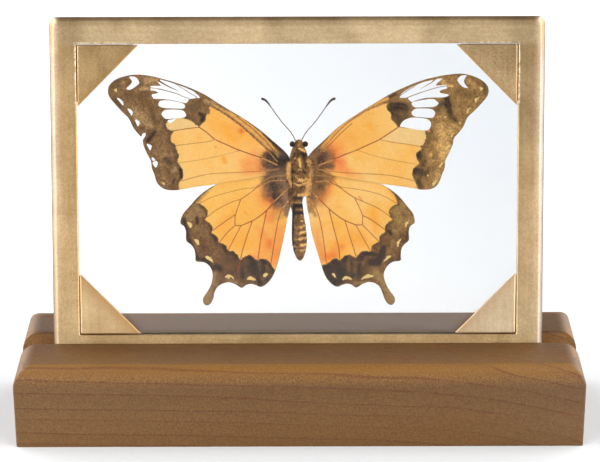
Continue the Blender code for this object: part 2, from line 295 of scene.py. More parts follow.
class Finish:
    """A material made of nodes: each call adds one and gives back the output that the next one reads."""

    def __init__(self, name, **values):
        self.material = bpy.data.materials.new(name)
        self.material.use_nodes = True
        self.tree = self.material.node_tree
        self.surface = self.tree.nodes["Principled BSDF"]
        for key, value in values.items():
            self.surface.inputs[key.replace("_", " ")].default_value = value
        self.place = self.node("ShaderNodeTexCoord", output="Object")

    def node(self, kind, inputs=None, output=0, **options):
        made = self.tree.nodes.new(kind)
        for key, value in options.items():
            setattr(made, key, value)
        for key, value in (inputs or {}).items():
            self.feed(made.inputs[key], value)
        return Output(self, made.outputs[output])

    def feed(self, socket, value):
        if isinstance(value, Output):
            self.tree.links.new(value.socket, socket)
        else:
            socket.default_value = value

    def math(self, operation, first, second=0.0):
        return self.node("ShaderNodeMath", {0: first, 1: second}, operation=operation)

    def spread(self, value, start, end):
        """A value from 0 to 1 spread over another range."""
        return self.node("ShaderNodeMapRange", {"Value": value, "To Min": start, "To Max": end})

    def step(self, value, low, high, top=1.0):
        """0 up to low and top from high on, smooth between; low above high turns it round."""
        inputs = {"Value": value, "From Min": low, "From Max": high, "To Max": top}
        return self.node("ShaderNodeMapRange", inputs, interpolation_type="SMOOTHSTEP")

    def mix(self, share, first, second, blend="MIX"):
        inputs = {0: share, 6: first, 7: second}
        return self.node("ShaderNodeMix", inputs, output=2, data_type="RGBA", blend_type=blend)

    def shade(self, colour, factors, share=1.0):
        """A colour multiplied by others, wholly or by a share."""
        return self.mix(share, colour, factors, blend="MULTIPLY")

    def coats(self, colour, *coats):
        """A first colour under coats of others, each with its share."""
        for share, coat in coats:
            colour = self.mix(share, colour, coat)
        return colour

    def noise(self, scale, detail=2.0, roughness=0.5, distortion=0.0, start=(0, 0, 0)):
        """Noise of one scale, or stretched by a scale for each axis."""
        place = self.place
        if isinstance(scale, tuple):
            place = self.node("ShaderNodeMapping", {"Vector": place, "Scale": scale, "Location": start})
            scale = 1.0
        inputs = {
            "Vector": place, "Scale": scale, "Detail": detail, "Roughness": roughness,
            "Distortion": distortion,
        }
        return self.node("ShaderNodeTexNoise", inputs, output="Fac")

    def attribute(self, name):
        return self.node("ShaderNodeAttribute", output="Fac", attribute_name=name)

    def axis(self, name):
        return self.node("ShaderNodeSeparateXYZ", {0: self.place}, output=name)

    def bump(self, height, distance, strength=1.0):
        inputs = {"Height": height, "Distance": distance, "Strength": strength}
        self.feed(self.surface.inputs["Normal"], self.node("ShaderNodeBump", inputs))

    def use(self, colour=None, roughness=None):
        if colour is not None:
            self.feed(self.surface.inputs["Base Color"], colour)
        if roughness is not None:
            self.feed(self.surface.inputs["Roughness"], roughness)
        return self.material


# ---------------------------------------------------------------- wooden block

WOOD_LIGHT = 1.75
WOOD_SHEEN = 0.033
RING_SPACING = 0.0049  # metres between two dark lines of the grain
RING_START = 0.0019
RING_SLANT = 0.4  # how much the rings climb towards the back
RING_FALL = 0.028  # how much they fall towards the right
RING_SINK = (0.035, 0.2, 0.03)  # and how they sink at the right end
RING_WANDER = 0.005
ROUND_STEPS = 18
CREASE_ANGLE = math.radians(25)  # edges sharper than this are worn
CRISP_ANGLE = math.radians(50)

# where the wood changes, in metres: each band's start and where it is complete
LEFT_TO_RIGHT = (-0.09, 0.05)
RIGHT_END = (0.045, 0.095)
# heights of the rounded long edges, golden with a painted highlight
GOLDEN_HIGHLIGHT_HEIGHTS = [(0.0224, 0.025), (0.0252, 0.0274)]
FLAT_ENDS = (0.0187, 0.0193)  # how far to the front or back the flat top ends
FLAT_HEIGHT = (0.0272, 0.0279)
# painted shade: the top darkens towards the slot and the frame
TOP_SHADE_NEAR_SLOT = (-0.019, -0.006)
BEHIND_SLOT = (0.004, 0.008)
# painted sheen on the top behind the slot: greyer, darker to the right, paler at the ends
BACK_SHEEN_ACROSS = (-0.09, 0.09)
BACK_END_SHEEN = (0.084, 0.074)
SLOT_DEPTH = (0.0128, 0.0122)
SLOT_HEIGHT = (0.0276, 0.0268)
SLOT_ENDS = (0.0948, 0.0943)
FRONT_FACE = ((-0.018, -0.0225), (0.0255, 0.0235))
# heights over which the front face goes from painted light at its foot to painted shade near its top
FRONT_SHADE_HEIGHTS = (0.003, 0.023)
SANDED_HEIGHTS = [(0.0226, 0.0238), (0.0268, 0.0256)]


def wood_finish():
    """Satin stained wood: thin year lines that sink to the right; golden, with a painted highlight, where the
    long edges are rounded; painted shade on the top next to the slot and towards the top of the front face; a
    painted grey sheen on the top behind the slot.
    """
    wood = Finish("stained_wood", Roughness=0.55, Specular_IOR_Level=0.35)

    def stain(red, green, blue):
        return paint(red, green, blue, WOOD_LIGHT, WOOD_SHEEN)

    x, y, z = (wood.axis(name) for name in "XYZ")
    tone = wood.noise((9, 50, 60), 3, 0.55, 0.3)
    slow = wood.noise((5, 90, 150), 2, 0.5, 0.0, (2, 5, 1))
    fibre = wood.noise((420, 1900, 2300), 3, 0.7)
    grain = wood.noise(1900, 3, 0.85)
    pore = wood.noise((300, 1500, 1700), 1, 0.5, 0.0, (3, 1, 2))
    height = z + y * RING_SLANT + x * RING_FALL + wood.step(x, *RING_SINK) + (tone + slow - 1.0) * RING_WANDER
    rings = wood.math("FRACT", (height + RING_START) / RING_SPACING)
    line = wood.step(rings, 0.1, 0.0) + wood.step(rings, 0.92, 1.0)

    # painted highlight: the rounded long edges lighter where light from above falls on them, over the stain's
    # golden tone
    golden = wood.step(z, *GOLDEN_HIGHLIGHT_HEIGHTS[0], 0.5) + wood.step(z, *GOLDEN_HIGHLIGHT_HEIGHTS[1], 0.5)
    golden = golden * wood.step(y, -FLAT_ENDS[0], -FLAT_ENDS[1])
    flat = wood.step(z, *FLAT_HEIGHT) * wood.step(abs(y), *reversed(FLAT_ENDS))
    # painted sheen: the top behind the slot greyer than the stain, darker to the right and paler at the ends
    back = wood.coats(
        wood.mix(wood.step(x, *BACK_SHEEN_ACROSS), stain(114, 98, 87), stain(100, 81, 65)),
        (wood.step(abs(x), *BACK_END_SHEEN), stain(133, 107, 87)),
    )
    top = wood.coats(
        stain(121, 92, 64),
        # painted shade on the top next to the slot
        (wood.step(y, *TOP_SHADE_NEAR_SLOT), stain(104, 77, 48)),
        (wood.step(y, *BEHIND_SLOT), back),
    )
    slot = wood.step(abs(y), *SLOT_DEPTH) * wood.step(z, *SLOT_HEIGHT) * wood.step(abs(x), *SLOT_ENDS)
    colour = wood.coats(
        stain(134, 101, 69),
        (wood.step(x, *LEFT_TO_RIGHT), stain(120, 87, 56)),
        (wood.step(x, *RIGHT_END), stain(124, 95, 69)),
        (wood.step(tone, 0.35, 0.7, 0.4), stain(139, 105, 72)),
        (golden, stain(146, 105, 57)),
        (flat, top),
        (slot, stain(152, 106, 56)),
        (wood.step(rings, 0.15, 1.0, 0.25), stain(120, 86, 46)),
        (line * wood.step(slow, 0.3, 0.55, 0.85), stain(116, 75, 24)),
    )
    front = wood.step(y, *FRONT_FACE[0]) * wood.step(z, *FRONT_FACE[1])
    # painted light and shade: the front face lighter towards its foot and darker towards its top
    tone_shift = wood.mix(wood.step(z, *FRONT_SHADE_HEIGHTS), (1.13, 1.13, 1.14, 1), (0.91, 0.91, 0.92, 1))
    colour = wood.shade(colour, tone_shift, front)
    colour = wood.mix(wood.step(fibre, 0.35, 0.65, 0.4), colour, stain(139, 105, 71))
    speckle = wood.mix(wood.step(grain, 0.34, 0.66), (0.76, 0.75, 0.73, 1), (1.26, 1.26, 1.27, 1))
    colour = wood.shade(colour, speckle)
    sanded = wood.step(z, *SANDED_HEIGHTS[0]) * wood.step(z, *SANDED_HEIGHTS[1], 0.7)
    colour = wood.shade(colour, speckle, sanded)
    colour = wood.mix(wood.step(pore, 0.2, 0.14, 0.7), colour, stain(62, 40, 24))
    wood.bump(fibre + grain * 0.7, 0.00005, 0.6)
    return wood.use(colour)


def base_ring(inset, height):
    """The block's outline at one height, with its upright corners cut by a small arris."""
    x = BASE_WIDTH / 2 - inset
    y = BASE_DEPTH / 2 - inset
    cut = BASE_ARRIS
    corners = []
    for right, front in QUARTERS:
        pair = [(right * x, front * (y - cut), height), (right * (x - cut), front * y, height)]
        corners += pair if right == front else pair[::-1]
    return corners


def block_mesh():
    """The block before its slot is cut: upright sides, rounded round the top."""
    made = bmesh.new()
    rings = [base_ring(0, 0)]
    for step in range(ROUND_STEPS + 1):
        angle = math.pi / 2 * step / ROUND_STEPS
        inset = BASE_ROUNDING * (1 - math.cos(angle))
        rings.append(base_ring(inset, BASE_HEIGHT - BASE_ROUNDING * (1 - math.sin(angle))))
    loops = [[made.verts.new(point) for point in ring] for ring in rings]
    for lower, upper in zip(loops, loops[1:]):
        for i in range(len(lower)):
            j = (i + 1) % len(lower)
            made.faces.new((lower[i], lower[j], upper[j], upper[i]))
    made.faces.new(loops[0])
    made.faces.new(loops[-1])
    return mesh_from_bmesh("wood_block", made)


def box_bmesh(size, middle):
    made = bmesh.new()
    bmesh.ops.create_cube(made, size=1.0)
    bmesh.ops.scale(made, vec=size, verts=made.verts)
    bmesh.ops.translate(made, vec=middle, verts=made.verts)
    return made


def slot_cutter():
    """A long leaning box that cuts the slot for the frame."""
    floor_y = -OPENING_HEIGHT / 2 - RAIL_WIDTH - GAP
    size = (2 * BASE_WIDTH, BASE_HEIGHT, FRAME_THICKNESS + 2 * GAP)
    mesh = mesh_from_bmesh("slot", box_bmesh(size, (0, floor_y + BASE_HEIGHT / 2, 0)))
    mesh.transform(Matrix.Scale(MM, 4))
    cutter = bpy.data.objects.new("slot", mesh)
    cutter.matrix_world = LEANING
    bpy.context.scene.collection.objects.link(cutter)
    return cutter


def make_wood_block():
    """The block, rounded round its top, with the leaning slot cut through and every edge a little worn."""
    cutter = slot_cutter()
    block = add_piece("wood_block", block_mesh(), [wood_finish()], "wood_base", Matrix.Identity(4))
    boolean = block.modifiers.new("slot", "BOOLEAN")
    boolean.object = cutter
    boolean.operation = "DIFFERENCE"
    edge = block.modifiers.new("worn edges", "BEVEL")
    edge.width = BASE_EDGE * MM
    edge.segments = 3
    edge.limit_method = "ANGLE"
    edge.angle_limit = CREASE_ANGLE
    edge.use_clamp_overlap = True
    bpy.context.view_layer.update()
    evaluated = block.evaluated_get(bpy.context.evaluated_depsgraph_get())
    finished = bpy.data.meshes.new_from_object(evaluated)
    finished.shade_smooth()
    finished.set_sharp_from_angle(angle=CRISP_ANGLE)
    block.modifiers.clear()
    block.data = finished
    bpy.data.objects.remove(cutter)


# ---------------------------------------------------------------- brass

# bands of tone, painted light and painted shade on the rails, in metres: where each begins and is complete
MIDDLE_BAND = (-0.05, 0.05)  # from the left rail's tones to the right one's
TOP_RAIL = (0.0104, 0.008)  # down from the top
TOP_SHADOW = (0.0036, 0.0022)
TOP_EDGE_DARK_REFLECTION = (0.0018, 0.0008)
EDGE_REFLECTION_TOP = (0.018, 0.003)
LEFT_SHADE = (0.034, 0.004)
RIGHT_SHADE = (0.055, 0.026)
SIDE_RAIL = (0.014, 0.0085)  # in from a side
# painted highlight along the rounded outer sides
SIDE_HIGHLIGHT = (0.0043, 0.0015)
EDGE_REFLECTION_SIDE = (0.0019, 0.001)
SHADED_SIDE_EDGE = (0.0005, 0.0002)
LOWER_HALF = (0.005, -0.022)  # up from the middle of the glass
FOOT_LIGHT = (-0.024, -0.05)
FOOT = (-0.0478, -0.0502)
ROUNDED = (0.002, 0.0027)  # out from the middle of the frame's thickness
SOLDER_HIGHLIGHT_LINE = (0.0009, 0.0004)  # out from the opening
SOFT_END = 0.001  # over which the solder line with its painted highlight and the brushing change

RAIL_COLOURS = ((212, 182, 138), (160, 128, 84), 0.6)  # light, dark and how mottled they are
# each plate's light and dark tones and mottle, with painted light: darker at the top left, paler and greyer
# at the lower right
PLATE_TONES_WITH_PAINTED_LIGHT = {
    "top_left": ((183, 153, 108), (152, 122, 82), 0.75),
    "top_right": ((198, 170, 127), (162, 135, 98), 1.0),
    "bottom_left": ((214, 184, 140), (182, 151, 107), 0.45),
    "bottom_right": ((226, 205, 172), (194, 170, 137), 0.4),
}

SECTION_STEPS = 10
CORNER_STEPS = 8
BACK_LIP_SHY = 0.9  # how much wider the opening is behind the glass, so that the lip stays hidden
BACK_PLATE_SHY = 1.1  # how much smaller the back plates are, so that the front ones hide them
PLATE_SPACING = 0.6
PLATE_TIP = 0.35  # cut off the two sharp ends
PLATE_WAVE = 0.03
RIM_REACH = {1: 1.1, -1: 3.2}  # how far the browner rim reaches on upper and lower plates
PLATE_DENTS = {  # distances in from its corner's two edges, radius, depth
    "top_right": [(6.2, 2.6, 0.5, 0.1), (5.2, 3.3, 0.35, 0.08), (5.6, 6.5, 0.5, 0.08)],
    "top_left": [(7.5, 5.0, 0.6, 0.05)],
    "bottom_left": [(4.5, 4.0, 0.5, 0.04)],
    "bottom_right": [(8.5, 3.0, 0.5, 0.05)],
}


def brass_finish(name, colours, rails=False):
    """Lacquered brass with a soft patina, fine pits, faint brush lines and browner rims; on the rails,
    painted highlights, reflections and shade as well.
    """
    light, dark, mottle = colours
    brass = Finish(name, Metallic=1.0, Roughness=0.4, Coat_Weight=0.3, Coat_Roughness=0.25)
    cloud = brass.noise(55, 4, 0.6, 0.3)
    grain = brass.noise(1400, 3, 0.8)
    brush = brass.noise((900, 60, 900), 2, 0.6)
    colour = brass.mix(brass.step(cloud, 0.3, 0.72), paint(*dark), paint(*light))
    if rails:  # brushed along each rail
        level = brass.noise((60, 900, 900), 2, 0.6)
        edge = OPENING_WIDTH / 2 * MM
        brush = level + brass.step(abs(brass.axis("X")), edge, edge + SOFT_END) * (brush - level)
        colour = rail_tones_and_painted_light(brass, colour)
    pits = brass.mix(brass.step(grain, 0.36, 0.64), (1.14, 1.14, 1.16, 1), (0.78, 0.77, 0.73, 1))
    colour = brass.shade(colour, pits, mottle)
    streaks = brass.mix(brass.step(brush, 0.3, 0.7), (0.94, 0.93, 0.9, 1), (1.03, 1.035, 1.05, 1))
    colour = brass.shade(colour, streaks)
    rim = brass.attribute("rim") * brass.step(cloud, 0.3, 0.6) * 0.6
    colour = brass.mix(rim, colour, paint(165, 118, 62))
    brass.bump(grain + brush * 0.6, 0.00003, 0.5)
    return brass.use(colour, brass.spread(cloud, 0.34, 0.5))


def rail_tones_and_painted_light(brass, patina):
    """Each rail's tone, the right one's greyer with painted reflection; a painted highlight and painted
    reflection on the rounded sides, painted shade below the top edge and a painted dark reflection on it,
    painted shade and light beside the sides, and pale solder with a painted highlight by the plates.
    """
    x, y, z = (brass.axis(name) for name in "XYZ")
    from_side = (OPENING_WIDTH / 2 + RAIL_WIDTH) * MM - abs(x)
    from_top = (OPENING_HEIGHT / 2 + RAIL_WIDTH) * MM - y
    right = brass.step(x, *MIDDLE_BAND)
    lower = brass.step(y, *LOWER_HALF)
    foot_light = brass.step(y, *FOOT_LIGHT)
    rounded = brass.step(abs(z), *ROUNDED)
    # painted highlight along the rounded outer sides, paler on the right and in the upper half
    pale = brass.step(from_side, *SIDE_HIGHLIGHT)
    left_highlight = brass.mix(lower, paint(222, 194, 167), paint(202, 174, 138))
    right_highlight = brass.mix(lower, paint(230, 203, 176), paint(213, 187, 158))
    # painted reflection on the rounded outermost edge: greyer, bluer on the right, darker near the top
    edge_reflection = brass.coats(
        paint(130, 122, 124),
        (lower, paint(141, 128, 114)),
        (right, paint(136, 137, 148)),
        (brass.step(from_top, *EDGE_REFLECTION_TOP), paint(112, 92, 76)),
    )
    tone = brass.coats(
        paint(187, 155, 108),
        (right, paint(177, 150, 111)),
        (brass.step(from_top, *TOP_RAIL), paint(203, 181, 144)),
        (brass.step(y, *FOOT), paint(182, 150, 104)),
        # painted shade below the top edge, and painted dark reflection on the rounded top edge
        (brass.step(from_top, *TOP_SHADOW, 0.8), paint(166, 145, 111)),
        (brass.step(from_top, *TOP_EDGE_DARK_REFLECTION), paint(88, 66, 46)),
        (pale, brass.mix(right, left_highlight, right_highlight)),
        (brass.step(from_side, *EDGE_REFLECTION_SIDE) * rounded, edge_reflection),
        # painted shade where the rounded sides turn away
        (brass.step(from_side, *SHADED_SIDE_EDGE) * rounded, paint(66, 54, 38)),
        (0.4, patina),
    )
    left_shade = brass.coats(
        (1, 1, 1, 1),
        (brass.step(from_top, *LEFT_SHADE), (0.66, 0.64, 0.6, 1)),
        (foot_light, (1.08, 1.12, 1.18, 1)),
    )
    right_shade = brass.coats(
        (1.04, 1.04, 1.04, 1),
        (brass.step(from_top, *RIGHT_SHADE), (0.83, 0.83, 0.82, 1)),
        (foot_light, (1.2, 1.3, 1.44, 1)),
    )
    beside = brass.step(from_side, *SIDE_RAIL) - pale
    tone = brass.shade(tone, brass.mix(right, left_shade, right_shade), beside)

    out = brass.math("MAXIMUM", RAIL_WIDTH * MM - from_side, RAIL_WIDTH * MM - from_top)
    plate_x = (OPENING_WIDTH / 2 - PLATE_LEG) * MM
    plate_y = (OPENING_HEIGHT / 2 - PLATE_LEG) * MM
    # a pale line on the rails' inner edge by the plates: solder, and a painted highlight on the rounded inner
    # edge
    solder_and_highlight = brass.step(y, plate_y, plate_y + SOFT_END)
    solder_and_highlight = solder_and_highlight * brass.step(abs(x), plate_x, plate_x + SOFT_END, 0.8)
    solder_and_highlight = solder_and_highlight * brass.step(brass.noise(800, 2), 0.4, 0.6, 0.7)
    return brass.mix(brass.step(out, *SOLDER_HIGHLIGHT_LINE) * solder_and_highlight, tone, paint(238, 220, 188))


def rail_profile():
    """The bar's section, as points at a distance out from the opening's edge and a height."""
    half = FRAME_THICKNESS / 2
    groove = CAVITY / 2 + PANE_THICKNESS + GAP
    profile = []

    def arc(centre_out, centre_z, radius, start):
        for step in range(SECTION_STEPS + 1):
            angle = math.radians(start + 90 * step / SECTION_STEPS)
            profile.append((centre_out + radius * math.cos(angle), centre_z + radius * math.sin(angle)))

    arc(RAIL_WIDTH - OUTER_ROUNDING, half - OUTER_ROUNDING, OUTER_ROUNDING, 0)
    arc(INNER_ROUNDING, half - INNER_ROUNDING, INNER_ROUNDING, 90)
    profile.append((0.0, groove))
    profile.append((GLASS_LAP + GAP, groove))
    profile.append((GLASS_LAP + GAP, -groove))
    profile.append((0.0, -groove))
    arc(INNER_ROUNDING, INNER_ROUNDING - half, INNER_ROUNDING, 180)
    arc(RAIL_WIDTH - OUTER_ROUNDING, OUTER_ROUNDING - half, OUTER_ROUNDING, 270)
    return profile


def make_brass_surround():
    """The bar's section carried round the opening, with rounded corners."""
    verts = []
    loops = []
    for out, height in rail_profile():
        share = out / RAIL_WIDTH
        radius = INNER_CORNER_RADIUS + (OUTER_CORNER_RADIUS - INNER_CORNER_RADIUS) * share
        shy = BACK_LIP_SHY if height < 0 and out < GLASS_LAP else 0.0
        loop = []
        for quarter, (right, up) in enumerate(QUARTERS):
            centre_x = right * (OPENING_WIDTH / 2 + shy + out - radius)
            centre_y = up * (OPENING_HEIGHT / 2 + out - radius)
            for step in range(CORNER_STEPS + 1):
                angle = math.radians(90 * (quarter + step / CORNER_STEPS))
                x = centre_x + radius * math.cos(angle)
                y = centre_y + radius * math.sin(angle)
                loop.append(len(verts))
                verts.append((x, y, height))
        loops.append(loop)
    faces = []
    for k, loop in enumerate(loops):
        following = loops[(k + 1) % len(loops)]
        for i in range(len(loop)):
            j = (i + 1) % len(loop)
            faces.append((loop[i], following[i], following[j], loop[j]))
    mesh = mesh_from("brass_surround", verts, faces)
    finish = brass_finish("rail_brass", RAIL_COLOURS, rails=True)
    add_piece("brass_surround", mesh, [finish], "brass_frame", sharp=math.radians(30))


def plate_sheet(leg, corner, wave_start):
    """Points, height at each point, and faces of a plate whose right angle is at zero."""
    soft = INNER_CORNER_RADIUS
    tip = PLATE_TIP
    outline = np.array([(soft, 0), (leg - tip, 0), (leg - 0.3, 0.25), (0.25, leg - 0.3),
                        (0, leg - tip), (0, soft), (soft * 0.3, soft * 0.3)])
    centre = outline.mean(axis=0)
    inset = centre + (outline - centre) * (1 - PLATE_BEVEL / 4.5)
    points, faces = triangulate(outline, [(inset, True)], PLATE_SPACING)
    edge = np.minimum(distance_to_path(points, outline, closed=True) / PLATE_BEVEL, 1)
    height = PLATE_THICKNESS - PLATE_BEVEL * (1 - edge) ** 2
    for x, y, radius, depth in PLATE_DENTS[corner]:
        away = np.linalg.norm(points - (x, y), axis=1) / radius
        height -= depth * np.exp(-away**2)
    wave = [noise.noise((x * 0.22, y * 0.22, wave_start)) for x, y in points]
    height += PLATE_WAVE * np.array(wave) - PLATE_WAVE
    return points, height, faces


def make_corner_plates():
    """Thin triangles soldered into the corners, with softened edges, dents and a slight wave."""
    near = CAVITY / 2 + PANE_THICKNESS + GAP
    finishes = {
        corner: brass_finish(f"{corner}_plate_brass", colours) for corner, colours in PLATE_TONES_WITH_PAINTED_LIGHT.items()
    }
    for face, front, plate_shy, lip_shy in (("front", 1, 0, 0), ("back", -1, BACK_PLATE_SHY, BACK_LIP_SHY)):
        for corner, right, up in PLATE_CORNERS:
            leg = PLATE_LEG - plate_shy
            points, height, faces = plate_sheet(leg, corner, 3 * right + up + front)
            local_x = right * (OPENING_WIDTH / 2 + lip_shy - GAP - points[:, 0])
            local_y = up * (OPENING_HEIGHT / 2 - GAP - points[:, 1])
            outer = np.column_stack([local_x, local_y, front * (near + height)])
            inner = np.column_stack([local_x, local_y, np.full(len(points), front * near)])
            if right * up * front < 0:
                faces = faces[:, ::-1]
            sheet = closed_sheet(faces, len(points))
            mesh = mesh_from(f"{face}_{corner}", np.vstack([outer, inner]).tolist(), sheet)
            from_long_edge = (leg - points.sum(axis=1)) / math.sqrt(2)
            rim = np.exp(-(from_long_edge / RIM_REACH[up]) ** 2)
            store(mesh, "rim", np.concatenate([rim, rim]))
            name = f"{face}_plate_{corner}"
            add_piece(f"{name}_brass", mesh, [finishes[corner]], name)


# ---------------------------------------------------------------- glass

GREYING_SPREAD = (-0.08, 0.12)  # metres aslant, up and to the right, over which the painted shade in the glass deepens
PANE_GREYS = {  # each pane's tint where the painted shade is weak and where it is strong
    "front": ((255, 255, 255), (252, 253, 254)),
    "back": ((248, 248, 248), (229, 231, 233)),
}


def glass_finish(name, weak, strong):
    """Clear glass whose tint greys towards one upper corner: painted shade."""
    glass = Finish(name, Transmission_Weight=1.0, IOR=1.46, Roughness=0.0)
    rough = glass.step(glass.noise(30, 2, 0.5), 0.55, 0.85, 0.004)
    greying = glass.step(glass.axis("X") + glass.axis("Y"), *GREYING_SPREAD)
    return glass.use(glass.mix(greying, paint(*weak), paint(*strong)), rough)


def make_panes():
    """Two panes with ground edges."""
    size = (OPENING_WIDTH + 2 * GLASS_LAP, OPENING_HEIGHT + 2 * GLASS_LAP, PANE_THICKNESS)
    for name, side in (("front", 1), ("back", -1)):
        pane = box_bmesh(size, (0, 0, side * (CAVITY + PANE_THICKNESS) / 2))
        bmesh.ops.bevel(pane, geom=pane.edges[:], offset=PANE_ARRIS, segments=1, affect="EDGES")
        mesh = mesh_from_bmesh(f"{name}_pane", pane)
        finish = glass_finish(f"{name}_glass", *PANE_GREYS[name])
        add_piece(f"{name}_pane", mesh, [finish], f"{name}_glass", sharp=math.radians(20))


# ---------------------------------------------------------------- wings

FOREWING_OUTLINE = [
    (3.3, 11.2), (9.3, 17.0), (14.5, 21.3), (20.0, 24.9), (26.8, 28.7), (32.5, 32.3), (38.2, 35.0),
    (44.4, 37.05), (50.4, 38.5), (55.6, 38.8), (60.2, 37.5), (63.2, 35.3), (63.95, 33.2), (63.5, 31.3),
    (61.95, 29.3), (59.45, 26.6), (56.95, 24.2), (55.6, 21.1), (53.9, 18.8), (52.6, 17.2), (52.25, 15.0),
    (51.0, 12.0), (49.8, 9.6), (49.5, 7.2), (48.4, 4.6), (47.5, 2.3), (46.0, 0.55), (43.8, -0.15),
    (41.0, -0.15), (38.3, 0.35), (33.8, 1.05), (27.0, 1.95), (22.5, 2.7), (17.3, 3.4), (12.6, 4.4),
    (9.4, 5.25), (6.1, 6.0), (3.3, 6.4),
]
HINDWING_OUTLINE = [
    (3.3, 7.0), (8.0, 7.6), (14.0, 6.8), (20.0, 4.9), (25.3, 2.6), (29.0, 1.1), (31.8, -0.7),
    (34.4, -2.95), (36.8, -5.8), (38.9, -8.35), (39.65, -10.8), (39.35, -11.9), (38.35, -12.55),
    (37.7, -14.4), (37.65, -17.45), (36.2, -18.7), (35.0, -20.4), (34.65, -22.7), (34.55, -24.4),
    (32.0, -24.85), (30.2, -26.2), (29.15, -28.2), (29.05, -29.95), (29.9, -32.7), (31.3, -35.2),
    (32.55, -37.1), (32.5, -38.8), (31.5, -39.65), (30.2, -39.15), (29.2, -37.4), (28.75, -35.35),
    (27.7, -33.35), (25.85, -32.15), (23.75, -31.75), (21.65, -32.4), (19.5, -33.65), (17.95, -32.7),
    (16.4, -32.3), (14.75, -32.7), (13.0, -33.35), (11.0, -32.3), (9.3, -30.2), (8.0, -27.2),
    (6.6, -22.2), (5.6, -18.3), (4.7, -14.4), (3.7, -9.6), (2.85, -6.0), (2.45, -3.0), (2.95, -0.6),
    (3.3, 2.0),
]

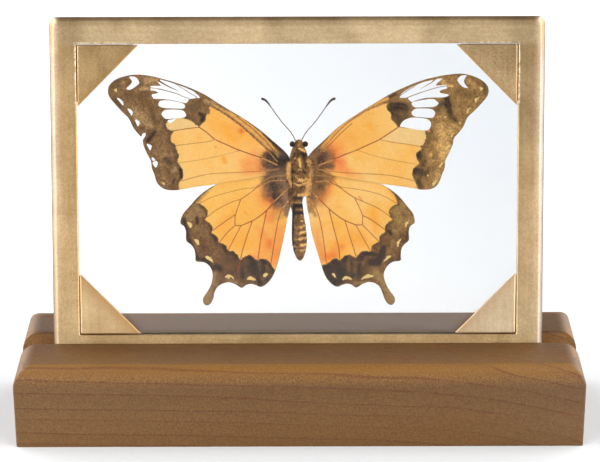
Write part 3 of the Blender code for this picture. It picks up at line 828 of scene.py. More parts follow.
# What is drawn on each wing, as points on a wing that spreads to the right. Windows are clear and nicks are
# torn out; these two, the cream spots, the pale cells and the orange field are closed outlines. Veins, and
# the strips that cross the clear fan, are open paths. The soft tints from dusk to faded are strokes: from,
# to, radius, strength. Nudges are where this side's outline leaves the shared one: place, radius, shift.
# Browns are the dark, middle and light parts of the border, oranges the amber, middle and light parts of the
# field, and root is the dusky root. Lists that a wing has no use for are left out.
LEFT_FOREWING = {
    "windows": [
        [(46.4, 37.1), (45.4, 36.9), (42.6, 36.1), (38.2, 34.5), (35.2, 33.1), (33.3, 31.4), (33.5, 30.9),
         (34.4, 31.1), (34.6, 30.9), (36.5, 30.6), (36.8, 30.8), (37.3, 29.6), (38.5, 29.3), (42, 30.1),
         (45.5, 30.6), (48.5, 30.7), (48.9, 31.1), (49.3, 31.8), (49.1, 32.2), (47.2, 32.7), (48.4, 33.4),
         (49.5, 33.5), (49.7, 33.8), (49.6, 34.8), (49.5, 35), (46.5, 35.1), (46.2, 35.2), (47.1, 36.2)],
        [(47.1, 28.9), (46.9, 29.6), (46, 30.1), (43.1, 30.1), (38.8, 29.1), (38.2, 27.9), (38.9, 27.4),
         (41.1, 27.4), (45, 27.6), (46.9, 28.2)],
        [(46, 25.8), (45, 26.9), (42.3, 27.1), (39, 26.8), (37.9, 25.5), (38, 24.8), (38.5, 24.4), (40, 24.2),
         (44, 23.9), (45, 24.1), (45.9, 25.1)],
        [(44, 23.1), (43.6, 23.6), (40.9, 23.9), (41.6, 23.6), (42.8, 22.7), (43.5, 22.6)],
        [(56.8, 38.1), (55.1, 38.1), (54.2, 37.6), (53.5, 36.2), (53.9, 35.5), (55.5, 34.3), (56.6, 33.8),
         (57.4, 33.8), (57.8, 34.2), (56.5, 35.5), (55.9, 36.3), (56, 36.8)],
        [(61, 30.9), (60.3, 30.9), (59, 29.6), (59, 28.5), (60.5, 30.2)],
        [(57.5, 27.3), (57.1, 27.4), (56.1, 26.8), (55.8, 26), (56.2, 25.1)],
        [(55, 23.3), (54.6, 23.8), (53.6, 23), (53.5, 22.5), (54.1, 21.4), (54.7, 22.7)],
        [(51.2, 15.4), (50.5, 15.4), (49.5, 14.8), (50, 13.4), (50.3, 13.6)],
        [(49.6, 10.6), (49.2, 11), (48.4, 10.2), (48.6, 9.9), (49.2, 9.8)],
        [(49.3, 9.2), (48.2, 9.8), (47.8, 9.5), (47.5, 8.9), (48.2, 7.5), (49.1, 8.6)],
    ],
    "nicks": [[(54.2, 17.1), (53, 18.1), (52.4, 19.1), (51.5, 19.1), (51.7, 18.1), (53, 16.4)]],
    "cream": [
        [(62, 33.8), (61.5, 34), (61.1, 34.5), (61, 34.2), (61, 32.8)],
        [(46.6, 2.7), (46, 2.6), (45.4, 2.2), (45, 1.7), (45.3, 1.3)],
    ],
    "pale": [
        [(33.9, 21.2), (34.6, 21.9), (36.6, 23.5), (41.4, 24.1), (43.1, 23.2), (44.5, 22.6), (44.4, 21.2),
         (43.6, 20.3), (42, 19.9), (37.8, 20.6)],
    ],
    "orange": [
        [(29.8, 28.1), (25.2, 25.5), (20.4, 22.1), (16.2, 18.5), (12.6, 15.2), (9.9, 12.6), (7.1, 9.6),
         (4, 8.7), (3, 6.2), (11.7, -1.1), (27.1, -1.1), (38.9, -0.8), (40.3, 0.2), (40.5, 1.7), (40.1, 2.9),
         (39.3, 3.8), (39, 5.3), (39.2, 6.9), (40.7, 9.1), (40.8, 10.1), (40.4, 11.7), (41.5, 14.2),
         (41.4, 14.9), (42.2, 15.7), (42.9, 16.4), (43.1, 17.6), (42.8, 18.7), (42, 19.9), (43.6, 20.3),
         (44.3, 21.2), (44.5, 22.6), (43.6, 23.4), (41.4, 24.1), (38.6, 24), (36.4, 23.4), (33.8, 21.1),
         (32.7, 22.1), (31.4, 23.3), (30.9, 25.4), (29.9, 25.6), (29.8, 26.6)],
    ],
    "strips": [
        [(47.3, 37), (44, 35), (40.4, 33.4)],
        [(41.2, 35.6), (34.1, 31.1)],
        [(50.1, 34.5), (45.5, 33.7), (41, 32.4), (38.9, 31.5), (36.7, 30.8)],
    ],
    "veins": [
        [(7.2, 8.3), (11.7, 10.4), (20.2, 13.4), (24.2, 15.2), (28.1, 17), (31, 19.4), (33.6, 21.2)],
        [(33.6, 21.1), (37.8, 20.6), (42.2, 19.9)],
        [(28.1, 17), (30.6, 16.2), (35.1, 15.7), (41.1, 15)],
        [(20.2, 13.1), (26.1, 11.6), (33.4, 10.1), (40.6, 9.1)],
        [(6.7, 7), (13, 6.2), (20.7, 5.8), (27.5, 5.5), (32, 5), (40, 2.9)],
        [(7.1, 9.4), (10.1, 12.9), (12.6, 15.4), (16.2, 18.8), (20.4, 22.4), (25.2, 25.8), (29.6, 28.3)],
        [(6.8, 11), (9, 13.9), (12.2, 17.6), (16, 21), (20.6, 24.5)],
    ],
    "dusk": [
        ((10.8, 10.6), (9, 9.8), 1.9, 0.5), ((10.4, 8.6), (8, 7.8), 1.8, 0.85),
        ((9, 5.9), (5, 5.5), 2.1, 0.9), ((9.3, 11.3), (4.5, 9.6), 2.1, 0.95), ((4, 8), (4, 6), 2.5, 0.95),
        ((11.8, 9.4), (11.2, 6.8), 2.6, 0.25),
    ],
    "soot": [
        ((10.2, 11.4), (7, 8.8), 1.9, 0.85), ((5.8, 9.2), (3.9, 10.4), 1.8, 0.8),
        ((8.4, 12.2), (7.5, 10.5), 1.4, 0.6), ((11.5, 8.4), (7.8, 7.6), 1.4, 0.45),
    ],
    "blush": [
        ((18, 9.4), (12.6, 8.8), 2.8, 0.5), ((18, 6.2), (12.8, 6.4), 2.2, 0.45),
        ((14.5, 12.8), (12, 12.6), 2.0, 0.35), ((19.3, 19.8), (19.2, 19.6), 0.9, 0.75),
        ((19.5, 19.6), (21.5, 21), 2.2, 0.3), ((27.9, 14.3), (28, 14.4), 0.4, 0.7),
    ],
    "amber": [
        ((25, 9.4), (25.4, 10.8), 1.1, 0.8), ((22, 17.5), (24.5, 20), 2.4, 0.5),
        ((18, 15), (29, 22), 5.0, 0.4), ((33.5, 17), (34, 17.5), 1.2, 0.3), ((30, 24), (26, 22), 2.0, 0.35),
    ],
    "tan": [
        ((48, 37.3), (51, 36.7), 1.3, 0.7), ((52.9, 34.1), (47.7, 34.2), 0.6, 0.8),
        ((55.4, 27.2), (53.1, 22.6), 1.6, 0.5), ((52.5, 25), (50, 22), 1.6, 0.45),
        ((58.5, 36), (59.5, 33), 1.2, 0.3), ((46.4, 14.6), (45.2, 11.5), 1.8, 0.35),
        ((46.4, 6), (45, 3.5), 1.6, 0.35), ((41.5, 7.2), (42.2, 6.2), 0.8, 0.5),
        ((9, 13.6), (16, 20.4), 1.0, 0.8), ((16, 20.4), (22, 25.2), 0.9, 0.8), ((22, 25), (31, 30), 0.9, 0.6),
    ],
    "dark": [
        ((33.3, 25.6), (32.1, 24.7), 0.7, 0.8), ((32.1, 24.6), (32.5, 23.5), 0.8, 0.85),
        ((48.6, 19.4), (50.8, 16.6), 0.9, 0.8), ((39.8, 6.8), (39.4, 3.9), 0.7, 0.95),
        ((41.9, 3.6), (42.6, 1.9), 0.5, 0.6), ((44.8, 10.4), (43.4, 9.2), 1.2, 0.5),
        ((47.4, 6.4), (47, 5.8), 1.0, 0.35), ((53.5, 31.2), (50.8, 32.4), 1.5, 0.25),
        ((49.5, 27.5), (48.5, 22.5), 1.2, 0.35), ((37, 27.5), (33.8, 28.6), 1.8, 0.3),
        ((3.5, 11.1), (10, 17), 0.6, 0.8), ((10, 17.2), (22, 26), 0.3, 0.5),
        ((42.8, 18.6), (43.6, 16), 0.9, 0.2), ((61.5, 30.6), (60, 27.6), 0.7, 0.4),
    ],
    "ochre": [
        ((6.6, 11.8), (9.6, 15.4), 0.4, 0.9), ((9.6, 15.4), (13.2, 19.2), 0.5, 0.9),
        ((13.2, 19.2), (19.2, 24), 0.55, 0.8), ((19.2, 24), (24, 27.2), 0.5, 0.5),
        ((6.6, 10.5), (12, 16.3), 0.4, 0.9), ((12, 16.3), (16.6, 20.5), 0.5, 1),
        ((16.6, 20.5), (22.6, 25.3), 0.5, 0.95), ((22.6, 25.3), (28, 28.4), 0.4, 0.7),
    ],
    "tone_shift": [((37, 18), (41, 4), 4.6, 0.9), ((33, 13), (37, 9), 3.0, 0.4)],
    "nudges": [
        ((29, 30), 7, (-0.17, 0.32)), ((62, 36.5), 3.5, (0.2, 0.25)), ((57, 24.5), 4, (0.17, -0.12)),
        ((47.6, 3), 2, (0.3, -0.1)),
    ],
    "browns": ((116, 89, 58), (150, 118, 86), (190, 155, 109)),
    "oranges": ((249, 170, 60), (249, 184, 93), (249, 201, 122)),
    "root": (110, 90, 77),
}
RIGHT_FOREWING = {
    "windows": [
        [(34.1, 31.2), (34.5, 31.6), (34.4, 32), (36.4, 33.5), (41.3, 35.8), (44.6, 36.7), (48, 37.3),
         (48, 36.9), (46.1, 35.1), (47.4, 35), (49.6, 35), (49.8, 34.5), (50, 34), (48.1, 33.4), (47.5, 32.8),
         (48.3, 32.3), (50.5, 31.9), (49.6, 31.1), (46, 30.9), (43, 30.8), (39.4, 29.9), (38.1, 29.4),
         (37, 30.4), (36.8, 30.8), (35.3, 30.8), (34.3, 30.9)],
        [(38.1, 28.8), (38.5, 29.4), (39.2, 29.6), (43, 30.3), (44.8, 30.4), (45.9, 30.2), (46.4, 29.7),
         (47, 29.2), (47.1, 28.8), (45.7, 27.8), (42.2, 27.6), (39.4, 27.6), (38.5, 28.1)],
        [(38.1, 25.6), (38.4, 26.4), (39, 26.9), (40.1, 27.2), (43.6, 27.2), (45, 26.9), (45.7, 26.4),
         (46, 25.6), (45.7, 24.7), (45, 24.1), (43.6, 24.1), (39.9, 24.4), (38.7, 24.8)],
        [(34.2, 21.4), (35.6, 23.3), (38.7, 24.2), (43.1, 23.7), (44.5, 22.6), (44.5, 21.1), (43.5, 19.9),
         (41, 19.9), (36.5, 20.7), (34.6, 21.1)],
        [(56.4, 38.3), (55.5, 38.4), (54.5, 38.1), (53.8, 37.5), (53.5, 36.8), (53.8, 36), (55.2, 34.5),
         (57.2, 34), (56.6, 34.5), (55.7, 36.1), (56, 37.5), (56.5, 38)],
    ],
    "cream": [
        [(60.8, 34.3), (61.5, 34.5), (62.1, 34), (61.9, 33.4), (61.2, 33), (61, 33.6)],
        [(61, 31.1), (60.6, 30.9), (59.5, 30.6), (59.3, 30.2), (59.5, 29.1), (60, 29.6)],
        [(58, 27.4), (56.7, 26.8), (56.5, 26.1), (56.7, 25.4), (57.1, 25.9), (57.5, 26.8)],
        [(55.2, 23.6), (54.9, 23.4), (54.2, 22.1), (54.6, 21.4), (55, 22.9)],
        [(52.6, 19.3), (51.9, 18.8), (51.2, 17.8), (51.7, 17.4), (52, 18.1)],
        [(51.1, 15.1), (50.2, 14.6), (49.7, 13.8), (49.9, 13), (50.4, 13.6)],
        [(48.5, 9.3), (47.5, 7.8), (47.8, 7), (48.1, 7.5), (48.8, 8.9)],
        [(45, 1.9), (46, 2.8), (46.6, 2.4), (46.2, 1.7), (45.6, 0.9)],
        [(43.4, 4.9), (44.1, 4.8), (43.9, 4.3), (43.4, 4.3)],
        [(48.9, 24.3), (49.4, 24.9), (49.8, 24.4), (49.5, 23.9)],
    ],
    "pale": [
        [(33.8, 21.1), (36, 20.8), (39.5, 20.2), (42.5, 19.7), (42.9, 18.2), (42.8, 16.9), (42.1, 15.3),
         (41.2, 14.5), (37.8, 15.1), (30.6, 16.2), (27.4, 16.9), (30.6, 18.9)],
    ],
    "orange": [
        [(29.7, 29.1), (26, 27.7), (22.4, 26), (17.1, 22.6), (13.6, 19.4), (9.3, 14.8), (6.4, 11.6), (3, 8.6),
         (2, 6.2), (10.7, -1.1), (26.8, -1), (39.9, -1), (40.1, 0.3), (39.6, 1.9), (38.8, 3.5), (38.4, 5.2),
         (38.8, 7), (40.6, 8.7), (40, 10.1), (39.6, 11.4), (40, 12.4), (41.2, 13.3), (41.2, 14.3),
         (42.2, 15.4), (42.9, 16.9), (42.9, 18.2), (42.4, 19.4), (42.3, 19.8), (37.8, 20.6), (33.8, 21),
         (33, 21.9), (31.9, 22.9), (31.3, 23.9), (31.2, 25.4), (30.1, 26.5), (29.6, 27.9)],
        [(43.2, 19.7), (43.8, 20.1), (44.3, 19.8), (44, 19.2)],
    ],
    "strips": [
        [(47.5, 38), (45.6, 36.7), (44.5, 35.8), (41.2, 33.9)],
        [(34.3, 31.6), (36.9, 33.4), (39.2, 34.6)],
        [(36.6, 30.9), (43, 33.2), (47.4, 34.4), (50, 34.7)],
    ],
    "veins": [
        [(6.8, 8.2), (12.5, 10.4), (15.7, 11.8), (19.7, 13.3), (23.8, 15.2), (27.4, 16.9), (33.8, 21.1)],
        [(33.8, 21.1), (37.8, 20.6), (42.8, 19.8)],
        [(27.1, 16.9), (31.4, 15.9), (36, 15.3), (41.2, 14.4)],
        [(19.9, 13.2), (25.1, 11.5), (31.4, 9.9), (40.3, 8.4)],
        [(6.8, 6.8), (13.4, 5.8), (19.7, 5.4), (28.8, 4.9), (34.2, 4), (39, 2.8)],
        [(7.4, 12.7), (9.2, 15), (11.2, 17.1), (14, 20.2), (17.1, 22.9), (20.4, 25.2), (23.8, 27.1),
         (29.7, 29.2)],
        [(8.4, 12.8), (9.6, 14.1), (13.5, 18.2), (16, 20.5), (18, 22.2)],
    ],
    "dusk": [
        ((5.2, 10.4), (6.6, 12.4), 2.0, 0.95), ((5.7, 8), (4.6, 9.6), 1.9, 0.92),
        ((10.2, 10.8), (8.6, 12.2), 2.0, 0.75), ((11, 7.9), (8.6, 8.4), 1.3, 0.8),
        ((8.6, 10.6), (7.6, 9.6), 1.6, 0.7), ((9.2, 5), (8, 5.6), 1.7, 0.6),
        ((7.2, 4.4), (4.5, 5.6), 2.2, 0.92), ((10, 13.4), (11, 11), 2.4, 0.25),
    ],
    "soot": [
        ((8.2, 12.6), (7.6, 10.4), 1.5, 0.6), ((7.7, 10.2), (7.2, 8.6), 1.4, 0.6),
        ((8.6, 7.9), (10.8, 7.9), 1.3, 0.5), ((7.8, 6.4), (7.4, 3.4), 1.3, 0.55),
        ((8.4, 10.8), (9.6, 11.2), 1.0, 0.35),
    ],
    "blush": [
        ((12.2, 10), (14.2, 8.8), 2.2, 0.75), ((12.4, 7), (16, 6.2), 1.9, 0.45),
        ((17, 5.4), (21, 4.4), 2.0, 0.35), ((9.8, 13), (11.2, 11.4), 2.4, 0.75),
        ((11, 14.8), (14, 13.2), 3.2, 0.4), ((15, 17.5), (18, 17.5), 3.4, 0.2),
        ((43.7, 19.8), (43.8, 19.5), 0.7, 1),
    ],
    "amber": [
        ((23.8, 21.6), (25, 20.8), 1.3, 0.6), ((22, 24), (24, 25.5), 2.2, 0.4),
        ((15, 14), (28, 22), 5.0, 0.45), ((21.6, 21.5), (21.7, 21.4), 0.3, 0.9),
        ((38, 13), (39, 12.6), 1.5, 0.4),
    ],
    "tan": [
        ((49, 16.6), (48.1, 21.1), 2.2, 0.65), ((51.3, 18.9), (52, 21.5), 1.5, 0.5),
        ((47.2, 14.4), (50, 13.2), 1.6, 0.6), ((49.5, 9.5), (48.5, 12), 1.4, 0.6),
        ((46.7, 2.9), (47, 5.5), 1.3, 0.55), ((49, 35.9), (46.5, 36.8), 1.0, 0.7),
        ((51.9, 34.7), (49, 35.2), 0.5, 0.9), ((59.4, 34.8), (57.5, 36), 1.2, 0.45),
        ((53, 26), (55.5, 25.5), 1.3, 0.15), ((44.6, 11.6), (44.8, 12), 0.5, 0.8),
        ((46.5, 24), (49.4, 25.2), 0.5, 0.25), ((47, 10.5), (45.5, 9.5), 1.3, 0.35),
        ((20, 24.6), (28, 29), 0.8, 0.45), ((43, 24.8), (46, 22), 1.2, 0.12),
    ],
    "dark": [
        ((32, 28), (34.8, 27.8), 1.6, 1), ((31, 26.5), (34.2, 23.6), 2.0, 0.6),
        ((50, 30.4), (50.3, 28.6), 1.1, 1), ((50.4, 28.4), (51, 26.2), 1.0, 0.9),
        ((51.4, 24.6), (52.9, 23.2), 1.1, 0.6), ((40.4, 12.4), (40.8, 11.2), 1.35, 0.85),
        ((41.4, 5.6), (39.3, 6.3), 1.5, 0.8), ((42.4, 9.4), (42, 8.2), 1.0, 0.6),
        ((48.1, 28.9), (46.8, 27), 1.3, 0.5), ((40.6, 3), (41.5, 1), 1.0, 0.5),
        ((36.6, 27.5), (36.2, 23), 1.2, 0.5), ((44, 17), (43.8, 15.4), 0.9, 0.3),
        ((54, 33), (57, 32), 1.6, 0.35), ((3.5, 11.6), (8.5, 16.4), 0.55, 0.5),
        ((27, 29.2), (32.6, 32), 0.7, 0.7), ((62.3, 36), (62.8, 32.4), 0.8, 0.45),
        ((43, 3.8), (44, 7), 0.9, 0.4),
    ],
    "ochre": [
        ((7.6, 14), (11.4, 18.2), 0.6, 1), ((11.4, 18.2), (17.1, 24), 0.85, 1),
        ((17.1, 24), (23.8, 28.2), 0.9, 1), ((23.8, 28.2), (30, 30.6), 0.8, 0.8),
        ((8.6, 14), (13.3, 18.8), 0.35, 1), ((13.3, 18.8), (18, 23), 0.35, 0.8),
    ],
    "tone_shift": [((24, 7), (30, 12), 4.0, 0.5)],
    "nudges": [
        ((27, 29), 9, (-0.42, 0.78)), ((42, 36.5), 7, (-0.1, 0.4)), ((14, 21), 7, (-0.22, 0.36)),
        ((51.5, 12), 7, (-0.3, 0.1)),
    ],
    "browns": ((134, 104, 65), (172, 134, 85), (220, 175, 110)),
    "oranges": ((246, 172, 70), (248, 188, 99), (248, 203, 126)),
    "root": (134, 101, 74),
}
LEFT_HINDWING = {
    "cream": [
        [(37.9, -11.1), (36.4, -11.3), (36.2, -12.1), (36.5, -13.3), (37.1, -12.8)],
        [(35.6, -17), (34.3, -16.9), (33.7, -17.9), (34, -19.1), (35, -18.2)],
        [(31.9, -22.8), (30.7, -22.7), (29.5, -23.6), (29.1, -24.9), (31.2, -23.8)],
        [(25.4, -30), (24.4, -29.1), (23.5, -29.1), (22.6, -29.6), (21.8, -30.6), (22.6, -30.5),
         (23.2, -29.9), (23.8, -30.4), (24.4, -30.2)],
        [(17.7, -30.9), (17.2, -29.9), (16.4, -29.6), (15.3, -30.2), (14.7, -31.1), (16.1, -31)],
        [(12.2, -30.2), (12.1, -29.1), (11.2, -28.5), (10.5, -29), (11.1, -29.8)],
    ],
    "orange": [
        [(0.7, -3.9), (2.8, 1.9), (4.2, 8.3), (22.4, 8.3), (26.6, 2.6), (27.1, 1.9), (28.8, 1.1),
         (31.4, -0.8), (33.6, -2.9), (34.8, -4.6), (33.6, -4.8), (31.5, -6.2), (30.9, -7.4), (30.9, -8.7),
         (31.7, -10.4), (30.6, -11.1), (29.6, -12.3), (29.1, -13.7), (29.6, -14.8), (28.6, -15.3),
         (27.6, -16.4), (27.1, -18.1), (26.1, -18.4), (24.9, -19.1), (23.8, -21.1), (22.5, -20.9),
         (21.3, -21.9), (19.9, -24), (19.2, -23.4), (18, -22.8), (16.8, -22.5), (15.6, -23), (14.7, -23.9),
         (13.9, -24.1), (12.6, -23.6), (11.2, -23.9), (9.9, -24.9), (9.4, -25.8), (7.8, -27.6), (5.8, -27)],
    ],
    "veins": [
        [(4.2, 4.7), (9.4, 4.2), (14.6, 0.8), (17.9, 0.3), (21.8, -0.5), (29.1, -2.5), (33.8, -5)],
        [(4.2, 3.1), (9.4, 2.9), (10.9, 2.2), (13.8, 0.8), (16.4, -1.2), (19.6, -3.4)],
        [(19.6, -3.4), (22.4, -4.2), (25.4, -5.6), (28.5, -7.4), (30.9, -9.3)],
        [(19.6, -3.4), (21.4, -8.5), (21.6, -10.5), (21.6, -12.3)],
        [(21.4, -8.6), (23.6, -10), (29.1, -13.9)],
        [(21.6, -12.3), (24.3, -14.8), (27, -18.1)],
        [(21.6, -12.3), (19.6, -12.4)],
        [(3.4, 0.4), (7.3, -3.2), (10.9, -7.2), (13.3, -9.2), (15.7, -10.7), (19.6, -12.4)],
        [(19.6, -12.4), (23.9, -20.6)],
        [(15.7, -10.7), (18.7, -19.4), (20.9, -28.5)],
        [(10.8, -7.2), (12.8, -16.6), (13.9, -23.9)],
        [(3.4, -3.7), (5.8, -7.2), (7.3, -12.3), (9.5, -25.4)],
    ],
    "dusk": [
        ((5.2, 2.5), (3.2, -1.5), 2.4, 0.95), ((8.5, 2.2), (7.6, -1.8), 2.3, 0.9),
        ((6.5, -4.5), (7.6, -5.2), 1.4, 0.7), ((4.2, -3.6), (4.3, -5.4), 1.6, 0.92),
        ((3.4, -6.4), (4, -8.2), 1.2, 0.6), ((6, -5.5), (6.8, -9), 2.6, 0.24),
        ((10.6, 1.6), (10.8, -1.6), 1.9, 0.6), ((4, 5), (10, 4.6), 2.4, 0.92),
        ((30.5, 1), (34.5, -3.5), 1.3, 0.55),
    ],
    "soot": [
        ((9, 2.6), (8.2, -2.2), 2.5, 0.7), ((9.4, 3), (11.4, 2.2), 1.2, 0.4),
        ((8, -2.8), (6, -4.6), 1.5, 0.4), ((6, -2.6), (10.2, -6.5), 0.4, 0.55),
        ((6.4, 0.4), (6.2, -1.4), 1.4, 0.35),
    ],
    "blush": [
        ((11.6, 0.6), (10.4, -2.4), 2.4, 0.45), ((10, -3), (8, -4.2), 1.9, 0.7),
        ((13.5, -1.5), (12, -5), 3.4, 0.3), ((7.4, -6.5), (9.6, -9.8), 2.6, 0.45),
        ((9.9, -18.9), (9.8, -17.8), 1.2, 0.6), ((12, -15.4), (13.5, -14), 2.4, 0.4),
        ((11, -20.5), (13, -22.5), 3.2, 0.35), ((5.6, -14), (7.4, -25), 2.6, 0.45),
        ((9.4, -11), (9.4, -24), 3.0, 0.25), ((18.5, -7.5), (17.5, -8.5), 0.5, 0.4),
        ((16.5, -22.8), (14.5, -23.2), 1.0, 0.4),
    ],
    "amber": [
        ((24, -10), (27.5, -13), 2.2, 0.5), ((22.3, -8.2), (22, -6.4), 0.8, 0.6),
        ((19, -15), (20.5, -21), 2.2, 0.35), ((13, -18.5), (24, -17.5), 3.4, 0.6),
    ],
    "tan": [
        ((33.1, -8.4), (32.4, -9), 0.7, 1), ((34.5, -6.5), (36.8, -9.5), 2.0, 0.95),
        ((32.4, -7), (31.4, -11.8), 1.2, 0.35), ((34, -13.5), (31.5, -15), 2.0, 0.45),
        ((30.6, -33.5), (31.4, -38.5), 2.2, 0.95), ((20.2, -26.9), (20.5, -29), 0.4, 0.4),
        ((17.8, -26), (18.4, -28.5), 0.8, 0.45), ((22.3, -25.6), (24, -26.6), 1.1, 0.25),
        ((10.8, -26.3), (10.4, -27.6), 0.6, 0.5), ((19.3, -32.4), (24, -31), 0.8, 0.55),
        ((28.5, -28.8), (29, -31.5), 1.0, 0.8), ((28.9, -21.9), (28.6, -22.3), 0.5, 0.5),
        ((36, -5.6), (31, -1.1), 0.6, 0.6),
    ],
    "dark": [
        ((34.5, -9.8), (34.4, -11.4), 0.6, 0.85), ((38.9, -10.3), (37.5, -16.5), 0.8, 0.75),
        ((37, -17.6), (34.8, -23.2), 0.8, 0.8), ((30, -11.8), (29.3, -13.4), 0.8, 0.45),
        ((28.6, -15.6), (28.2, -17), 1.1, 0.55), ((25.5, -19.2), (24.8, -20.6), 0.9, 0.65),
        ((22.2, -21.7), (20.9, -23), 1.0, 0.5), ((16.6, -23.2), (15.6, -24.6), 1.2, 0.7),
        ((12.4, -24.2), (11.8, -24.9), 0.8, 0.8), ((9.6, -25.4), (8.6, -28.2), 0.9, 0.6),
        ((32.8, -19.1), (32.4, -19.8), 0.8, 0.5), ((27.9, -26.2), (26.6, -27.2), 1.1, 0.8),
        ((15.6, -25.6), (14.7, -28.6), 1.0, 0.6), ((12.1, -25.8), (12.3, -28.4), 0.8, 0.6),
        ((13.9, -30.2), (13.2, -32.4), 0.9, 0.85), ((34.2, -23.7), (30.2, -24.4), 0.7, 0.75),
        ((24, -23.6), (10.5, -28.6), 2.6, 0.4), ((19.2, -28.4), (19, -30.4), 0.8, 0.6),
        ((15.5, -28), (24, -28.6), 2.0, 0.35), ((31, -25.2), (29, -27), 0.8, 0.6),
        ((10.4, -30.6), (12, -31.6), 0.7, 0.5),
    ],
    "tone_shift": [((24, -1), (28, -3), 3.4, 0.7), ((22, -3.6), (20, -7), 3.0, 0.3)],
    "nudges": [
        ((38, -14), 8, (0.55, 0)), ((35, -23), 4, (0.3, -0.1)), ((29, -29), 2.5, (0.3, 0)),
        ((7, -24), 7, (-0.28, 0)),
    ],
    "browns": ((110, 79, 54), (134, 100, 67), (154, 124, 85)),
    "oranges": ((247, 170, 68), (247, 184, 89), (250, 199, 110)),
    "root": (130, 106, 86),
}
